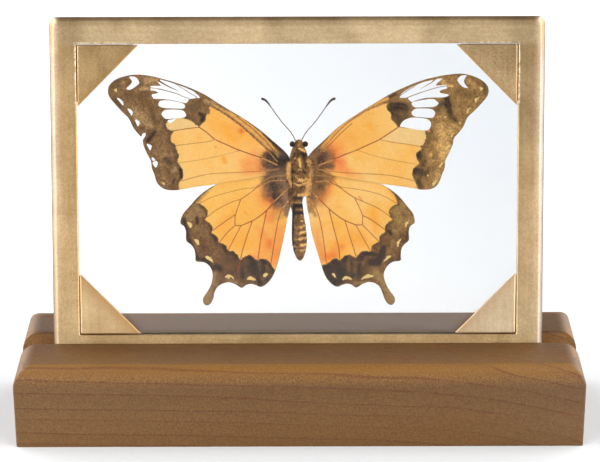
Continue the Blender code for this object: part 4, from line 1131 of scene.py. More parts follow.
RIGHT_HINDWING = {
    "cream": [
        [(37.6, -10.8), (36.4, -11.2), (35.9, -11.8), (36.1, -13), (36.8, -12.2)],
        [(35, -16.9), (33.9, -17.4), (33.2, -18.6), (33.7, -19.9), (34.2, -18.4)],
        [(31.4, -22.8), (29.9, -22.9), (28.9, -24.4), (28.6, -25.3), (30.6, -23.6)],
        [(20.9, -31.1), (21.9, -29.9), (23.1, -29.1), (24.3, -29.2), (25.7, -30.1), (24, -30.3),
         (22.5, -30.6)],
        [(14.7, -31.1), (15.3, -29.9), (16.4, -29.8), (17.5, -30.1), (18.1, -31.1), (16.4, -30.8)],
        [(11.2, -29.1), (11.8, -28.6), (12.4, -29.4), (12.8, -30.5), (12, -30.1)],
    ],
    "orange": [
        [(0.7, -3.9), (3.1, 1.9), (5, 8.3), (22.8, 8.2), (27, 2.5), (27.6, 1.8), (29.7, 0.7), (31.9, -1.2),
         (32.9, -3.3), (33.2, -5.1), (31.9, -5.7), (30.8, -7), (30.6, -8.2), (30.9, -9.4), (31.6, -10.3),
         (30.4, -11.3), (29.4, -12.4), (29.2, -13.3), (29.2, -14.7), (28, -15.5), (27.4, -16.6),
         (27.2, -17.9), (25.8, -18.6), (24.8, -19.4), (24.4, -21.2), (22.8, -21.1), (21.2, -21.4),
         (19.8, -23.1), (19.4, -23.4), (18.2, -22.8), (16.7, -22.4), (15.2, -23.1), (14, -24.3),
         (12.8, -23.7), (11.6, -24), (9.5, -25.5), (8.1, -25.9), (6.1, -26.4)],
    ],
    "veins": [
        [(5.8, 4.7), (10.3, 4.2), (13.7, 1), (18.2, 0.2), (22.8, -0.6), (27.3, -1.8), (30.9, -3.5),
         (33.1, -4.9)],
        [(5.2, 2.5), (9.2, 2.8), (10.9, 2.2), (13.6, 0.8), (16.4, -1.3), (18.9, -2.9)],
        [(18.9, -2.9), (21.2, -4), (25.8, -6), (28.8, -7.8), (30.9, -9.4)],
        [(18.9, -2.9), (20.4, -6), (21.6, -8.9), (21.6, -10.6), (21.6, -12.2)],
        [(21.7, -9), (24.3, -10.3), (27, -12.2), (29.2, -13.8)],
        [(21.6, -12.2), (27.2, -17.9)],
        [(19.3, -12.2), (21.6, -12.2)],
        [(4.2, -0.1), (5.8, -2.2), (10.1, -6.5), (12.8, -8.8), (15.5, -10.6), (19.3, -12.2)],
        [(19.4, -12.3), (24.3, -21.1)],
        [(15.6, -10.7), (17.1, -15.4), (19.4, -22.9)],
        [(10.3, -6.9), (11.8, -13), (13.4, -19.4), (14, -24.3)],
        [(4.3, -4.2), (6.5, -8.1), (8.1, -15.4), (9.4, -25.5)],
    ],
    "dusk": [
        ((7.2, 0), (6, -1.6), 1.8, 0.85), ((8.8, 2.4), (7.5, 3.5), 1.9, 0.75), ((5, 3), (5, 0.5), 2.2, 0.9),
        ((4.4, -3), (5, -4.6), 1.5, 0.6), ((3.2, -4.4), (3.6, -7.6), 0.8, 0.45),
        ((7, -2), (8, -4.6), 2.4, 0.2), ((4, 5), (10, 4.6), 2.2, 0.9), ((4.4, -6), (5.6, -9), 0.8, 0.4),
        ((31.5, 0.5), (34.5, -3), 1.3, 0.6),
    ],
    "soot": [
        ((7, 3.4), (7.2, 0.6), 1.5, 0.55), ((8.6, 1.8), (7.8, 0.8), 1.2, 0.35),
        ((4.6, -2.4), (5, -3.4), 1.0, 0.3),
    ],
    "blush": [
        ((9.4, -1.2), (8, -3.6), 2.1, 0.55), ((10.4, 0.6), (11.6, 1.6), 1.6, 0.35),
        ((14.6, -20), (14.7, -19.7), 1.0, 0.6), ((12, -22.6), (9.6, -23.4), 1.7, 0.7),
        ((6, -15), (7.6, -24), 1.9, 0.5), ((20.4, -2.6), (21.6, -4.1), 0.3, 0.8),
        ((8, -9), (12, -20), 3.2, 0.22), ((13.8, -6), (14, -6.2), 1.4, 0.25),
    ],
    "amber": [
        ((25.7, -8.6), (26, -10.8), 1.7, 0.7), ((24, -8), (26.5, -13), 2.6, 0.45),
        ((21, -16.5), (23.5, -19.5), 2.6, 0.6), ((26.4, -13.5), (26, -15), 1.0, 0.4),
        ((13.5, -19.5), (20, -17.5), 3.2, 0.7), ((20, -13), (16, -16), 3.0, 0.35),
    ],
    "tan": [
        ((34.7, -6), (32.2, -7.6), 2.0, 0.95), ((34.3, -9.8), (34.1, -10.3), 0.5, 1),
        ((31.4, -10.4), (38, -11), 1.9, 0.85), ((35.5, -13), (33.5, -14.5), 1.7, 0.6),
        ((32.3, -14.1), (31.9, -14.6), 0.5, 0.9), ((32, -18), (31, -21), 1.5, 0.5),
        ((22.3, -24.8), (21.6, -25.6), 0.5, 0.7), ((19.1, -25), (19.1, -29), 0.45, 0.45),
        ((26, -28.4), (28, -30.4), 1.7, 0.85), ((30.8, -34.5), (31.4, -38.5), 2.2, 0.95),
        ((28.4, -31), (29.6, -34), 1.1, 0.85), ((16.8, -25.4), (17.2, -28), 0.8, 0.45),
        ((36.6, -7.4), (38.4, -10), 0.9, 0.4), ((19, -32.2), (24, -31.6), 0.7, 0.6),
        ((31.2, -2), (35.6, -5.6), 0.6, 0.6), ((25, -20.4), (25.6, -21), 0.7, 0.4),
    ],
    "dark": [
        ((30.8, -14.5), (31.3, -15.3), 0.7, 0.8), ((13.5, -30.6), (21, -28.6), 2.4, 0.5),
        ((29.3, -12.6), (29.4, -14.4), 0.8, 0.45), ((28.7, -20.2), (28.3, -22), 1.0, 1),
        ((28.1, -22.6), (26.8, -25), 1.1, 1), ((26.6, -25), (24.3, -25), 0.9, 0.95),
        ((22.4, -21.8), (26, -22.4), 0.65, 0.85), ((12.4, -25.2), (13.9, -27.5), 1.4, 0.8),
        ((13.9, -27.5), (14.2, -30), 1.4, 0.8), ((14, -31), (12.4, -32), 1.2, 0.9),
        ((9.6, -26.6), (10.6, -30), 1.4, 0.85), ((10, -27), (26, -24), 2.4, 0.35),
        ((16, -22.6), (15.4, -24.4), 1.0, 0.75), ((20.7, -25.6), (20.4, -30), 0.5, 0.65),
        ((11.2, -30.6), (12.2, -31.4), 0.8, 0.9), ((37.3, -14), (36.2, -18), 0.6, 0.5),
        ((34.8, -20.8), (34, -24), 0.6, 0.5), ((17.8, -24), (18, -30), 0.35, 0.5),
        ((22.5, -22), (20.8, -23.5), 0.9, 0.6), ((27.4, -17.2), (26.6, -18.2), 0.8, 0.35),
    ],
    "tone_shift": [((16, 2), (29, -3), 3.4, 0.6), ((19.5, -4), (22, -6), 2.6, 0.4)],
    "nudges": [
        ((38.5, -13.5), 7, (-0.42, 0)), ((30, -30), 3, (-0.15, 0)), ((28.3, -35), 2.4, (-0.35, -0.1)),
        ((4.9, -15), 6, (-0.4, 0)),
    ],
    "browns": ((102, 72, 46), (140, 105, 66), (158, 126, 76)),
    "oranges": ((247, 168, 62), (247, 183, 84), (250, 203, 124)),
    "root": (138, 104, 70),
}
WINGS = {
    "left_forewing": LEFT_FOREWING,
    "right_forewing": RIGHT_FOREWING,
    "left_hindwing": LEFT_HINDWING,
    "right_hindwing": RIGHT_HINDWING,
}
TINTS = ("dusk", "soot", "blush", "amber", "tan", "dark", "ochre", "tone_shift")

# half widths at the two ends of the strips that cross the clear fan
STRIP_HALVES = [(0.35, 0.05), (0.1, 0.1), (0.15, 0.08)]

# how dark each vein is, in the order of the lists above
VEIN_STRENGTHS = {
    "forewing": [1.0, 0.85, 0.55, 0.4, 0.6, 0.65, 0.75],
    "hindwing": [0.55, 0.8, 0.7, 0.8, 0.8, 0.8, 0.9, 0.95, 0.75, 0.85, 0.9, 0.85],
}
VEIN_REACH = 0.33  # half width over which a vein fades
VEIN_RIDGE = 0.16  # half width of the raised part
VEIN_EDGE = 0.5  # how near the wing's edge a vein sinks in
BACK_RIDGE = 0.6  # how much of a vein's height stands out behind
VEIN_HIGHLIGHT_SHIFT = 0.26  # how far below a vein its painted highlight lies
WAVE_SCALE = 0.09
WAVE_HEIGHT = 0.09
WAVE_EDGE = 4.0  # the wave is weaker nearer the edge than this
THIN_EDGE = 0.6  # over which the wing thins out towards its edge

WING_LIGHT = 0.98
GLASS_VEIL = 0.024
RIM_DARKNESS = 0.6  # of the border next to the orange
RIM_FROM = 30.0  # how far out on a forewing that begins
RIM_MIDDLE = -0.6
RIM_WIDTH = 0.7


def under_glass(red, green, blue):
    """A colour as seen through the front pane."""
    return paint(red, green, blue, WING_LIGHT, GLASS_VEIL)


def wing_finish(name, pattern):
    """Scaled wing membrane, tinted like watercolour: brown border, orange field, dusky root, fine grain.

    The mesh carries what the colours follow: in millimetres, how far in from the edge of the orange, the
    cream spots, the pale cells and the wing; and from 0 to 1, how near a vein and its painted highlight are,
    and each soft tint.
    """
    wing = Finish(name, Roughness=0.75, Specular_IOR_Level=0.06)
    grain = wing.noise(1500, 3, 0.85)
    fleck = wing.noise(1150, 3, 0.7)
    cloud = wing.noise(300, 4, 0.65, 0.5)
    wash = wing.noise(70, 3, 0.5, 0.3)
    wobble = (wing.noise(1500, 2, 0.5) - 0.5) * 0.7
    smoky = (fleck + grain - 1.0) * 0.85 + (cloud - 0.5) * 0.9
    grainy = wing.step(grain, 0.4, 0.62, 0.34) + 0.66

    def within(distance, low, high, top=1.0):
        """Where a distance is past its edge, which wobbles."""
        return wing.step(wing.attribute(distance) + wobble, low, high, top)

    def tint(name, low, high, fray, top=1.0):
        """Where a soft tint is strong; its edge frays into grains."""
        value = wing.attribute(name)
        return wing.step(value + smoky * fray * wing.step(value, 0.0, 0.3), low, high, top)

    dark_brown, middle_brown, light_brown = (under_glass(*tone) for tone in pattern["browns"])
    amber, middle_orange, light_orange = (under_glass(*tone) for tone in pattern["oranges"])
    ochre = tint("ochre", 0.3, 0.75, 0.15)
    brown = wing.coats(
        dark_brown,
        (wing.step(cloud, 0.28, 0.74), middle_brown),
        (tint("tan", 0.0, 0.95, 0.4), light_brown),
        (wing.attribute("rim") * wing.step(cloud, 0.35, 0.6, RIM_DARKNESS), under_glass(70, 54, 44)),
        (tint("dark", 0.05, 0.8, 1.0) * grainy, under_glass(49, 33, 26)),
        (ochre, under_glass(226, 168, 90)),
    )
    orange = wing.coats(
        middle_orange,
        (wing.step(wash, 0.35, 0.65), light_orange),
        (wing.step(cloud, 0.52, 0.75, 0.25), amber),
        (tint("amber", 0.0, 1.1, 0.4), amber),
        (tint("tone_shift", 0.0, 1.1, 0.4), light_orange),
        (tint("blush", 0.0, 1.15, 0.4), under_glass(238, 112, 60)),
    )
    field = within("orange", -0.14, 0.2)
    dusk = wing.math("POWER", tint("dusk", 0.08, 1.05, 0.7, 0.92), 0.65)
    spots = within("cream", -0.06, 0.14)
    vein = wing.attribute("vein dark")
    ochre_vein = wing.step(wing.attribute("dusk"), 0.35, 0.7)
    vein_tone = wing.mix(ochre_vein, under_glass(150, 54, 34), under_glass(204, 152, 90))
    vein_line = wing.step(wing.attribute("vein"), 0.35, 0.85) * vein * wing.step(cloud, 0.1, 0.5, 0.95)
    hem = wing.step(wing.attribute("margin"), 0.32, 0.04) * (0.55 - field * 0.3)
    colour = wing.coats(
        brown,
        (field, orange),
        (within("pale cell", -0.05, 0.12, 0.85), under_glass(241, 204, 140)),
        (tint("dusk", 0.0, 0.7, 0.4, 0.75) * field, under_glass(186, 112, 62)),
        (dusk, under_glass(*pattern["root"])),
        (tint("soot", 0.08, 1.0, 1.0) * grainy, under_glass(47, 36, 30)),
        # painted highlight along the lower side of each vein
        (wing.step(wing.attribute("vein highlight"), 0.45, 0.9, 0.5) * vein, under_glass(234, 176, 108)),
        (vein_line, vein_tone),
        (spots, under_glass(232, 202, 132)),
        (hem, under_glass(84, 62, 44)),
    )
    busy = wing.math("MAXIMUM", 1.0 - field, dusk) * (1.0 - wing.math("MAXIMUM", spots, ochre * 0.75))
    speckle = wing.mix(wing.step(grain, 0.36, 0.64), (0.4, 0.37, 0.34, 1), (1.66, 1.6, 1.5, 1))
    wing.bump(grain + fleck * 0.5, 0.00003, 0.5)
    return wing.use(wing.shade(colour, speckle, busy * 0.5 + 0.08))


def membrane_finish():
    """The bare, clear skin of a wing where it has no scales."""
    membrane = Finish("clear_membrane", Transmission_Weight=1.0, IOR=1.02, Roughness=0.0)
    rough = membrane.step(membrane.noise(400, 2), 0.5, 0.9, 0.004)
    return membrane.use(paint(255, 255, 255), rough)


def ribbon(path, start_half, end_half):
    """The outline of a strip along a path, tapering from one half width to the other."""
    curve = smooth_through(path, 6, closed=False)
    ahead = np.gradient(curve, axis=0)
    ahead /= np.linalg.norm(ahead, axis=1)[:, None]
    across = np.column_stack([-ahead[:, 1], ahead[:, 0]])
    half = np.linspace(start_half, end_half, len(curve))[:, None]
    return np.vstack([curve + across * half, (curve - across * half)[::-1]])


def wing_outline(kind, nudges):
    """The outline that both sides share, nudged where this side leaves it."""
    outline = smooth_through(FOREWING_OUTLINE if kind == "forewing" else HINDWING_OUTLINE, 5)
    shared = outline.copy()
    for place, radius, shift in nudges:
        away = np.linalg.norm(shared - place, axis=1) / radius
        outline += np.exp(-away**2)[:, None] * shift
    return outline


def smooth_outlines(pattern, key, steps):
    return [smooth_through(outline, steps) for outline in pattern.get(key, [])]


def wing_sheet(outline, pattern, cream, veins):
    """Points and faces of a wing without its nicks, and which of the faces are clear."""
    windows = smooth_outlines(pattern, "windows", 4)
    nicks = smooth_outlines(pattern, "nicks", 3)
    strips = [ribbon(path, *halves) for path, halves in zip(pattern.get("strips", []), STRIP_HALVES)]
    lines = [(line, True) for line in windows + nicks + strips + cream] + [(line, False) for line in veins]
    points, faces = triangulate(outline, lines, WING_SPACING)
    if nicks:
        faces = faces[depth_inside(points[faces].mean(axis=1), nicks) < 0]
    middles = points[faces].mean(axis=1)
    bare = (depth_inside(middles, windows) > 0) & (depth_inside(middles, strips) <= 0)
    return points, faces, bare


def make_wing(name, side, kind, membrane):
    """One wing as a thin closed sheet: raised veins, a slight wave, clear windows as their own faces."""
    pattern = WINGS[name]
    outline = wing_outline(kind, pattern["nudges"])
    cream = smooth_outlines(pattern, "cream", 4)
    veins = [smooth_through(vein, 4, closed=False) for vein in pattern["veins"]]
    points, faces, bare = wing_sheet(outline, pattern, cream, veins)

    strengths = np.array(VEIN_STRENGTHS[kind])
    away = np.array([distance_to_path(points, vein) for vein in veins])
    away /= 0.75 + 0.5 * strengths[:, None]
    near_vein = away.min(axis=0)
    near_highlight = np.min([distance_to_path(points, vein - (0, VEIN_HIGHLIGHT_SHIFT)) for vein in veins], axis=0)
    margin = distance_to_path(points, outline, closed=True)
    field = np.clip(depth_inside(points, smooth_outlines(pattern, "orange", 3)), -3, 3)
    outer = 1.0 if kind == "hindwing" else np.clip((points[:, 0] - RIM_FROM) / 3, 0, 1)
    values = {
        "orange": field,
        "rim": outer * np.exp(-((field - RIM_MIDDLE) / RIM_WIDTH) ** 2),
        "cream": np.clip(depth_inside(points, cream), -1, 1),
        "pale cell": np.clip(depth_inside(points, smooth_outlines(pattern, "pale", 3)), -1, 1),
        "vein": np.clip(1 - near_vein / VEIN_REACH, 0, 1),
        "vein highlight": np.clip(1 - near_highlight / VEIN_REACH, 0, 1),
        "vein dark": strengths[away.argmin(axis=0)],
        "margin": np.clip(margin, 0, 2),
    }
    for tint in TINTS:
        values[tint] = soft_strokes(points, pattern.get(tint, []))

    wave = [noise.noise((x * WAVE_SCALE, y * WAVE_SCALE, side)) for x, y in points]
    wave = np.array(wave) * WAVE_HEIGHT * np.clip(margin / WAVE_EDGE, 0.3, 1)
    ridge = VEIN_HEIGHT * np.exp(-(near_vein / VEIN_RIDGE) ** 2) * np.clip(margin / VEIN_EDGE, 0, 1)
    thick = WING_THICKNESS * np.clip(0.35 + margin / THIN_EDGE, 0, 1)
    middle = (FOREWING_Z if kind == "forewing" else HINDWING_Z) + wave
    local_x = BUTTERFLY_X + side * points[:, 0]
    front = np.column_stack([local_x, points[:, 1], middle + thick / 2 + ridge])
    back = np.column_stack([local_x, points[:, 1], middle - thick / 2 - BACK_RIDGE * ridge])
    if side < 0:
        faces = faces[:, ::-1]
    sheet = closed_sheet(faces, len(points))
    mesh = mesh_from(name, np.vstack([front, back]).tolist(), sheet)
    for key, value in values.items():
        store(mesh, key, np.concatenate([value, value]))
    scales = wing_finish(f"{name}_scales", pattern)
    piece = add_piece(f"{name}_scales", mesh, [scales, membrane], name)
    slots = np.zeros(len(sheet), np.int32)
    slots[:len(faces)] = bare
    slots[len(faces):2 * len(faces)] = bare
    piece.data.polygons.foreach_set("material_index", slots)


def make_wings():
    membrane = membrane_finish()
    for side_name, side in (("left", -1), ("right", 1)):
        for kind in ("forewing", "hindwing"):
            make_wing(f"{side_name}_{kind}", side, kind, membrane)


# ---------------------------------------------------------------- antennae and body

ANTENNA_PATH = [
    (0.95, 16.4), (2.7, 19.5), (5.4, 22.5), (7.75, 25.7), (9.5, 28.2), (11.0, 30.05), (12.5, 30.7),
]
ANTENNA_RADIUS = 0.18
ANTENNA_Z = 0.1
ANTENNA_SIDES = 12
CLUB_RADIUS = 0.48
CLUB_LENGTH = 4.6
CLUB_TIP_SHARE = 0.5  # radius left at the very tip

# the head and thorax from front to back: y, half width, half thickness
BODY_STATIONS = [
    (16.85, 0.45, 0.3), (16.55, 0.95, 0.5), (16.1, 1.3, 0.62), (15.3, 1.55, 0.72), (14.5, 1.9, 0.78),
    (13.8, 2.15, 0.8), (13.2, 2.42, 0.82), (12.4, 2.7, 0.85), (11.2, 3.0, 0.9), (9.0, 3.0, 0.9),
    (6.0, 3.0, 0.9), (3.5, 2.95, 0.9), (1.5, 2.85, 0.88), (0.0, 2.5, 0.82), (-1.6, 2.0, 0.72),
    (-3.2, 1.6, 0.62), (-4.3, 1.5, 0.6),
]
BODY_SIDES = 56
BODY_STEP = 0.14
BODY_BEND = [(17.0, 0.12), (11.0, 0.05), (3.0, 0.0), (-5.6, -0.33), (-9.0, -0.26), (-12.2, 0.0), (-17.2, 0.2),
             (-24.45, 0.42)]  # how far the middle of the body lies to the right, at each y
FUZZY_TO = -2.0  # the thorax is lumpier down to this y
ABDOMEN_START = -4.6
ABDOMEN_TIP = -24.45
ABDOMEN_HALF_WIDTHS = [1.75, 1.92, 2.1, 2.36, 2.48, 2.57, 2.45, 2.05, 1.25]
ABDOMEN_ENDS = (1.5, 0.3)  # half widths where it starts and at its tip
ABDOMEN_THICKNESS_SHARE = 0.36
EYE_CENTRE = (2.16, 15.3)
EYE_RADIUS = 0.98
EYE_SIDES = 28
EYE_RINGS = 18  # steps from the back of the eye to its front
LEG_ROOTS = [9.6, 7.0, 4.4]
LEG_ROOT_X = 1.1
LEG_RADII = [0.2, 0.2, 0.17, 0.14, 0.1]
LEG_DEPTH = -0.97
LEG_BONES = [(0.5, 0.1), (2.9, 0.9), (-1.3, -4.4), (-0.6, -2.6)]  # each one's way out and up
LEG_STEPS = 6  # pieces of each bone
LEG_SIDES = 10

# strokes on the body, seen from the front with x to the right: from, to, radius, strength
GOLD_STROKES = [
    ((-3.1, 8.9), (-3.6, 7.2), 0.9, 0.95), ((-3.6, 7.2), (-3.9, 5.5), 1.1, 0.95),
    ((-3.9, 5.5), (-3.5, 3.8), 1.0, 0.98), ((-3.4, 3.8), (-2.7, 2.1), 0.55, 0.9),
    ((-2.7, 2.1), (-2.5, 0.8), 0.4, 0.7), ((3.2, 9.6), (4.2, 8), 0.8, 0.98),
    ((4.1, 8), (4.6, 4.9), 1.0, 0.98), ((4.5, 4.9), (3.9, 3.2), 1.1, 0.95), ((4, 3.2), (3.6, 1.1), 1.3, 1),
    ((3.6, 1.1), (3.4, -1.2), 1.2, 1), ((3, -1.4), (1.7, -1.9), 0.7, 0.95),
    ((1.7, -1.9), (-0.1, -1.9), 0.5, 0.9), ((0.1, 3.1), (1.2, 2.9), 0.45, 0.85),
    ((1.2, 2.9), (2.3, 3.4), 0.45, 0.9), ((-1.5, 2.1), (0.2, 1.3), 0.3, 0.85),
    ((0.2, 1.3), (2.5, 2.3), 0.3, 0.8), ((0.2, 10.4), (0.7, 7.6), 0.5, 0.85),
    ((-0.5, 6.9), (0.9, 6.5), 0.6, 0.5), ((-1.3, 10.6), (-1.2, 10.5), 0.4, 0.8),
    ((0.2, 13.9), (2.1, 12.9), 0.45, 0.8), ((-0.9, 4.5), (0.5, 3.8), 1.0, 0.45),
    ((0.8, -6.8), (1, -6.9), 0.35, 0.6), ((0.9, -8.8), (1, -8.8), 0.35, 0.6),
    ((0.8, -10.6), (1.2, -10.8), 0.4, 0.6), ((0.8, -12.8), (1.9, -12.3), 0.5, 0.7),
    ((0.7, -14.7), (2.2, -14.4), 0.6, 0.66), ((0.5, -16.8), (2.4, -16.4), 0.6, 0.62),
    ((0.6, -19.1), (2.4, -18.8), 0.6, 0.76), ((-1.6, -19.4), (-0.4, -19.5), 0.35, 0.6),
    ((0.6, -20.9), (2, -20.6), 0.5, 0.66), ((-1.2, -12.8), (0.5, -13), 0.7, 0.3),
    ((-1, -15), (0.5, -14.9), 0.8, 0.34), ((-1, -17), (0.5, -16.9), 0.8, 0.34),
    ((-1.7, -4.4), (1.2, -4.6), 0.4, 0.5),
]
# dark marks across the body, with painted shade down the left side of the thorax and abdomen
DARK_MARK_AND_SHADE_STROKES = [
    ((-1.1, 12.5), (-0.1, 12.3), 0.7, 0.45), ((0.9, 12.3), (2.5, 11.6), 0.9, 0.65),
    ((-1.5, 11.8), (-1.2, 9.8), 0.6, 0.6), ((1.6, 11.4), (1.9, 9.6), 0.6, 0.65),
    ((-0.3, 11.8), (-0.4, 10.6), 0.4, 0.5), ((-2.2, 6.7), (-2.4, 3.8), 0.45, 0.9),
    ((-2.4, 3.8), (-2.2, 0.2), 0.45, 0.85), ((2.4, 8.6), (2.7, 7.4), 0.6, 0.8),
    ((2.6, 7.4), (3.3, 6), 0.35, 0.7), ((-2.1, 6), (-1.3, 5.9), 0.6, 0.7),
    ((0.3, 6.2), (1.4, 6.7), 0.45, 0.7), ((1.6, 6.0), (2.6, 5.4), 0.5, 0.7),
    ((-0.8, 2), (2.2, 2.3), 0.22, 0.8), ((-1.9, -3), (1.2, -3), 0.8, 0.7),
    ((-1.8, -5.6), (1.5, -5.6), 0.9, 0.9), ((-1.9, -8), (1.4, -8), 1.0, 0.8),
    ((-1.9, -6), (-2.3, -13), 0.8, 0.8), ((-2.3, -13), (-2.3, -18), 0.7, 0.9),
    ((-2.3, -18), (-1.4, -22.5), 0.6, 0.7), ((2.4, -14), (2.6, -18), 0.3, 0.7),
    ((-1.6, -11.4), (1.6, -11.5), 0.3, 0.4), ((-1.8, -13.9), (2.2, -13.4), 0.28, 0.4),
    ((-2, -15.9), (2.4, -15.6), 0.28, 0.4), ((-2, -18.2), (2.4, -17.7), 0.3, 0.5),
    ((-2, -20.3), (2.2, -19.9), 0.3, 0.45),
]
HAIR_COUNT = 2600
HAIR_LENGTH = (0.5, 1.1)
HAIR_WIDTH = 0.035
HAIR_SPAN = (-2.4, 14.0)
FRINGE_WIDTH = 1.6 * HAIR_WIDTH
FRINGE_END = -7.4
FRINGE_DARKNESS = 0.3  # how much of the dark marks and painted shade the fringes take
HINDWING_TOP = 2.5  # fringes above this y lie over the forewings
FRINGES = [  # hair that joins the body to the wings: x where it starts and ends, at y from and to, count
    (-2.5, -4.2, 9.6, 2.5, 1300), (2.5, 5.3, 10.2, 2.5, 1700), (-2.2, -3.5, 2.5, -2.4, 1100),
    (1.9, 4.5, 2.5, -2.2, 1500), (-1.7, -3.1, -2.2, -7.5, 1500),
]


def body_finish():
    """Brown fur and horn with golden bands, dark marks and painted shade down the left side, the colours
    softly broken up along the body.
    """
    fur = Finish("body_fur", Roughness=0.8, Specular_IOR_Level=0.08)
    grain = fur.noise(1900, 3, 0.75)
    strand = fur.noise((2400, 900, 2400), 2, 0.6, 0.3)
    patch = fur.noise(520, 3, 0.65, 0.5)
    shift = (patch - 0.5 + (grain - 0.5)) * 0.7
    gold = fur.step(fur.attribute("gold") + shift, 0.2, 0.85)
    colour = fur.coats(
        under_glass(108, 80, 54),
        (fur.step(patch, 0.36, 0.64), under_glass(164, 122, 78)),
        # dark marks, with painted shade down the left side
        (fur.step(fur.attribute("dark") + shift, 0.15, 0.85), under_glass(55, 41, 33)),
        (gold, under_glass(250, 200, 122)),
        (fur.step(strand, 0.6, 0.36, 0.2), under_glass(66, 50, 38)),
    )
    speckle = fur.mix(fur.step(grain, 0.34, 0.66), (0.55, 0.52, 0.5, 1), (1.45, 1.42, 1.36, 1))
    colour = fur.shade(colour, speckle, 0.8 - gold * 0.4)
    colour = fur.mix(fur.step(fur.attribute("eye"), 0.3, 0.6), colour, under_glass(70, 54, 43))
    fur.bump(grain + strand, 0.00006, 0.6)
    return fur.use(colour)


def antenna_finish():
    """Thin grey-brown feelers, faintly ringed, with a dark club."""
    feeler = Finish("antenna_horn", Roughness=0.55)
    ring = feeler.noise(3000, 1, 0.5)
    colour = feeler.coats(
        under_glass(116, 97, 80),
        (feeler.step(ring, 0.35, 0.65), under_glass(154, 132, 110)),
        (feeler.step(feeler.attribute("club"), 0.05, 0.6), under_glass(72, 52, 34)),
    )
    feeler.bump(ring, 0.00003, 0.4)
    return feeler.use(colour)


def tube_rings(path, radii, sides):
    """Rings of points round a path, as one list, ring after ring."""
    rings = []
    for i, centre in enumerate(path):
        ahead = (path[min(i + 1, len(path) - 1)] - path[max(i - 1, 0)]).normalized()
        across = ahead.cross(Vector((0, 0, 1))).normalized()
        upward = across.cross(ahead)
        for k in range(sides):
            angle = 2 * math.pi * k / sides
            rings.append(centre + radii[i] * (across * math.cos(angle) + upward * math.sin(angle)))
    return rings


def tube_faces(count, sides, first=0, closed=True):
    """Faces between so many rings of points, with both ends closed or left open."""
    faces = []
    for ring in range(count - 1):
        for k in range(sides):
            a = first + ring * sides + k
            b = first + ring * sides + (k + 1) % sides
            faces.append((a, b, b + sides, a + sides))
    if closed:
        faces.append(tuple(first + k for k in reversed(range(sides))))
        faces.append(tuple(first + (count - 1) * sides + k for k in range(sides)))
    return faces


def make_antennae():
    """Two thin curved feelers that swell to a club."""
    finish = antenna_finish()
    sides = ANTENNA_SIDES
    for name, side in (("left", -1), ("right", 1)):
        curve = smooth_through(ANTENNA_PATH, 12, closed=False)
        path = [Vector((BUTTERFLY_X + side * x, y, ANTENNA_Z)) for x, y in curve]
        radii = []
        club = []
        for i in range(len(path)):
            to_tip = sum((b - a).length for a, b in zip(path[i:], path[i + 1:]))
            swell = max(0.0, 1 - to_tip / CLUB_LENGTH) ** 0.8
            rounding = min(1.0, CLUB_TIP_SHARE + to_tip / CLUB_RADIUS)
            ringed = 1 - 0.08 * (i % 2)
            radii.append((ANTENNA_RADIUS + (CLUB_RADIUS - ANTENNA_RADIUS) * swell) * rounding * ringed)
            club.append(swell)
        mesh = mesh_from(f"{name}_antenna_horn", tube_rings(path, radii, sides), tube_faces(len(path), sides))
        store(mesh, "club", np.repeat(club, sides))
        add_piece(f"{name}_antenna_horn", mesh, [finish], f"{name}_antenna")


def body_middle(y):
    return BUTTERFLY_X + np.interp(y, *zip(*reversed(BODY_BEND)))


def body_profile(y):
    """Half width and half thickness of the body at y, with the abdomen's grooves."""
    if y > ABDOMEN_START:
        ys, widths, depths = zip(*reversed(BODY_STATIONS))
        return np.interp(y, ys, widths), np.interp(y, ys, depths)
    count = len(ABDOMEN_HALF_WIDTHS)
    length = (ABDOMEN_START - ABDOMEN_TIP) / count
    along = (ABDOMEN_START - y) / length
    stations = np.arange(count) + 0.5
    start, tip = ABDOMEN_ENDS
    width = np.interp(along, [0, *stations, count], [start, *ABDOMEN_HALF_WIDTHS, tip])
    groove = math.exp(-(((along + 0.5) % 1 - 0.5) / 0.1) ** 2) * (along < count - 0.3)
    return width * (1 - 0.02 * groove), width * (1 - 0.06 * groove) * ABDOMEN_THICKNESS_SHARE


def add_trunk(verts, faces):
    """Head, thorax and abdomen as one lumpy skin."""
    ys = np.arange(BODY_STATIONS[0][0], ABDOMEN_TIP, -BODY_STEP)
    for y in ys:
        width, depth = body_profile(y)
        fuzz = 0.09 if y > FUZZY_TO else 0.03
        for k in range(BODY_SIDES):
            angle = 2 * math.pi * k / BODY_SIDES
            x = width * math.cos(angle)
            z = depth * math.sin(angle)
            lump = 1 + fuzz * noise.noise((x * 1.6, y * 1.1, z * 2.5)) * min(1.0, width)
            verts.append((body_middle(y) + x * lump, y, z * min(lump, 1.02)))
    faces += tube_faces(len(ys), BODY_SIDES)


def add_eye(verts, faces, side):
    """One round eye, ring by ring; gives back the range of its points."""
    first = len(verts)
    out, y = EYE_CENTRE
    x = body_middle(y) + side * out
    for ring in range(1, EYE_RINGS):
        tilt = math.pi * ring / EYE_RINGS
        reach = EYE_RADIUS * math.sin(tilt)
        z = -EYE_RADIUS * math.cos(tilt)
        for k in range(EYE_SIDES):
            angle = 2 * math.pi * k / EYE_SIDES
            verts.append((x + reach * math.cos(angle), y + reach * math.sin(angle), z))
    last = len(verts) - EYE_SIDES
    back = len(verts)
    front = back + 1
    verts += [(x, y, -EYE_RADIUS), (x, y, EYE_RADIUS)]
    faces += tube_faces(EYE_RINGS - 1, EYE_SIDES, first, closed=False)
    for k in range(EYE_SIDES):
        j = (k + 1) % EYE_SIDES
        faces += [(back, first + j, first + k), (front, last + k, last + j)]
    return slice(first, len(verts))


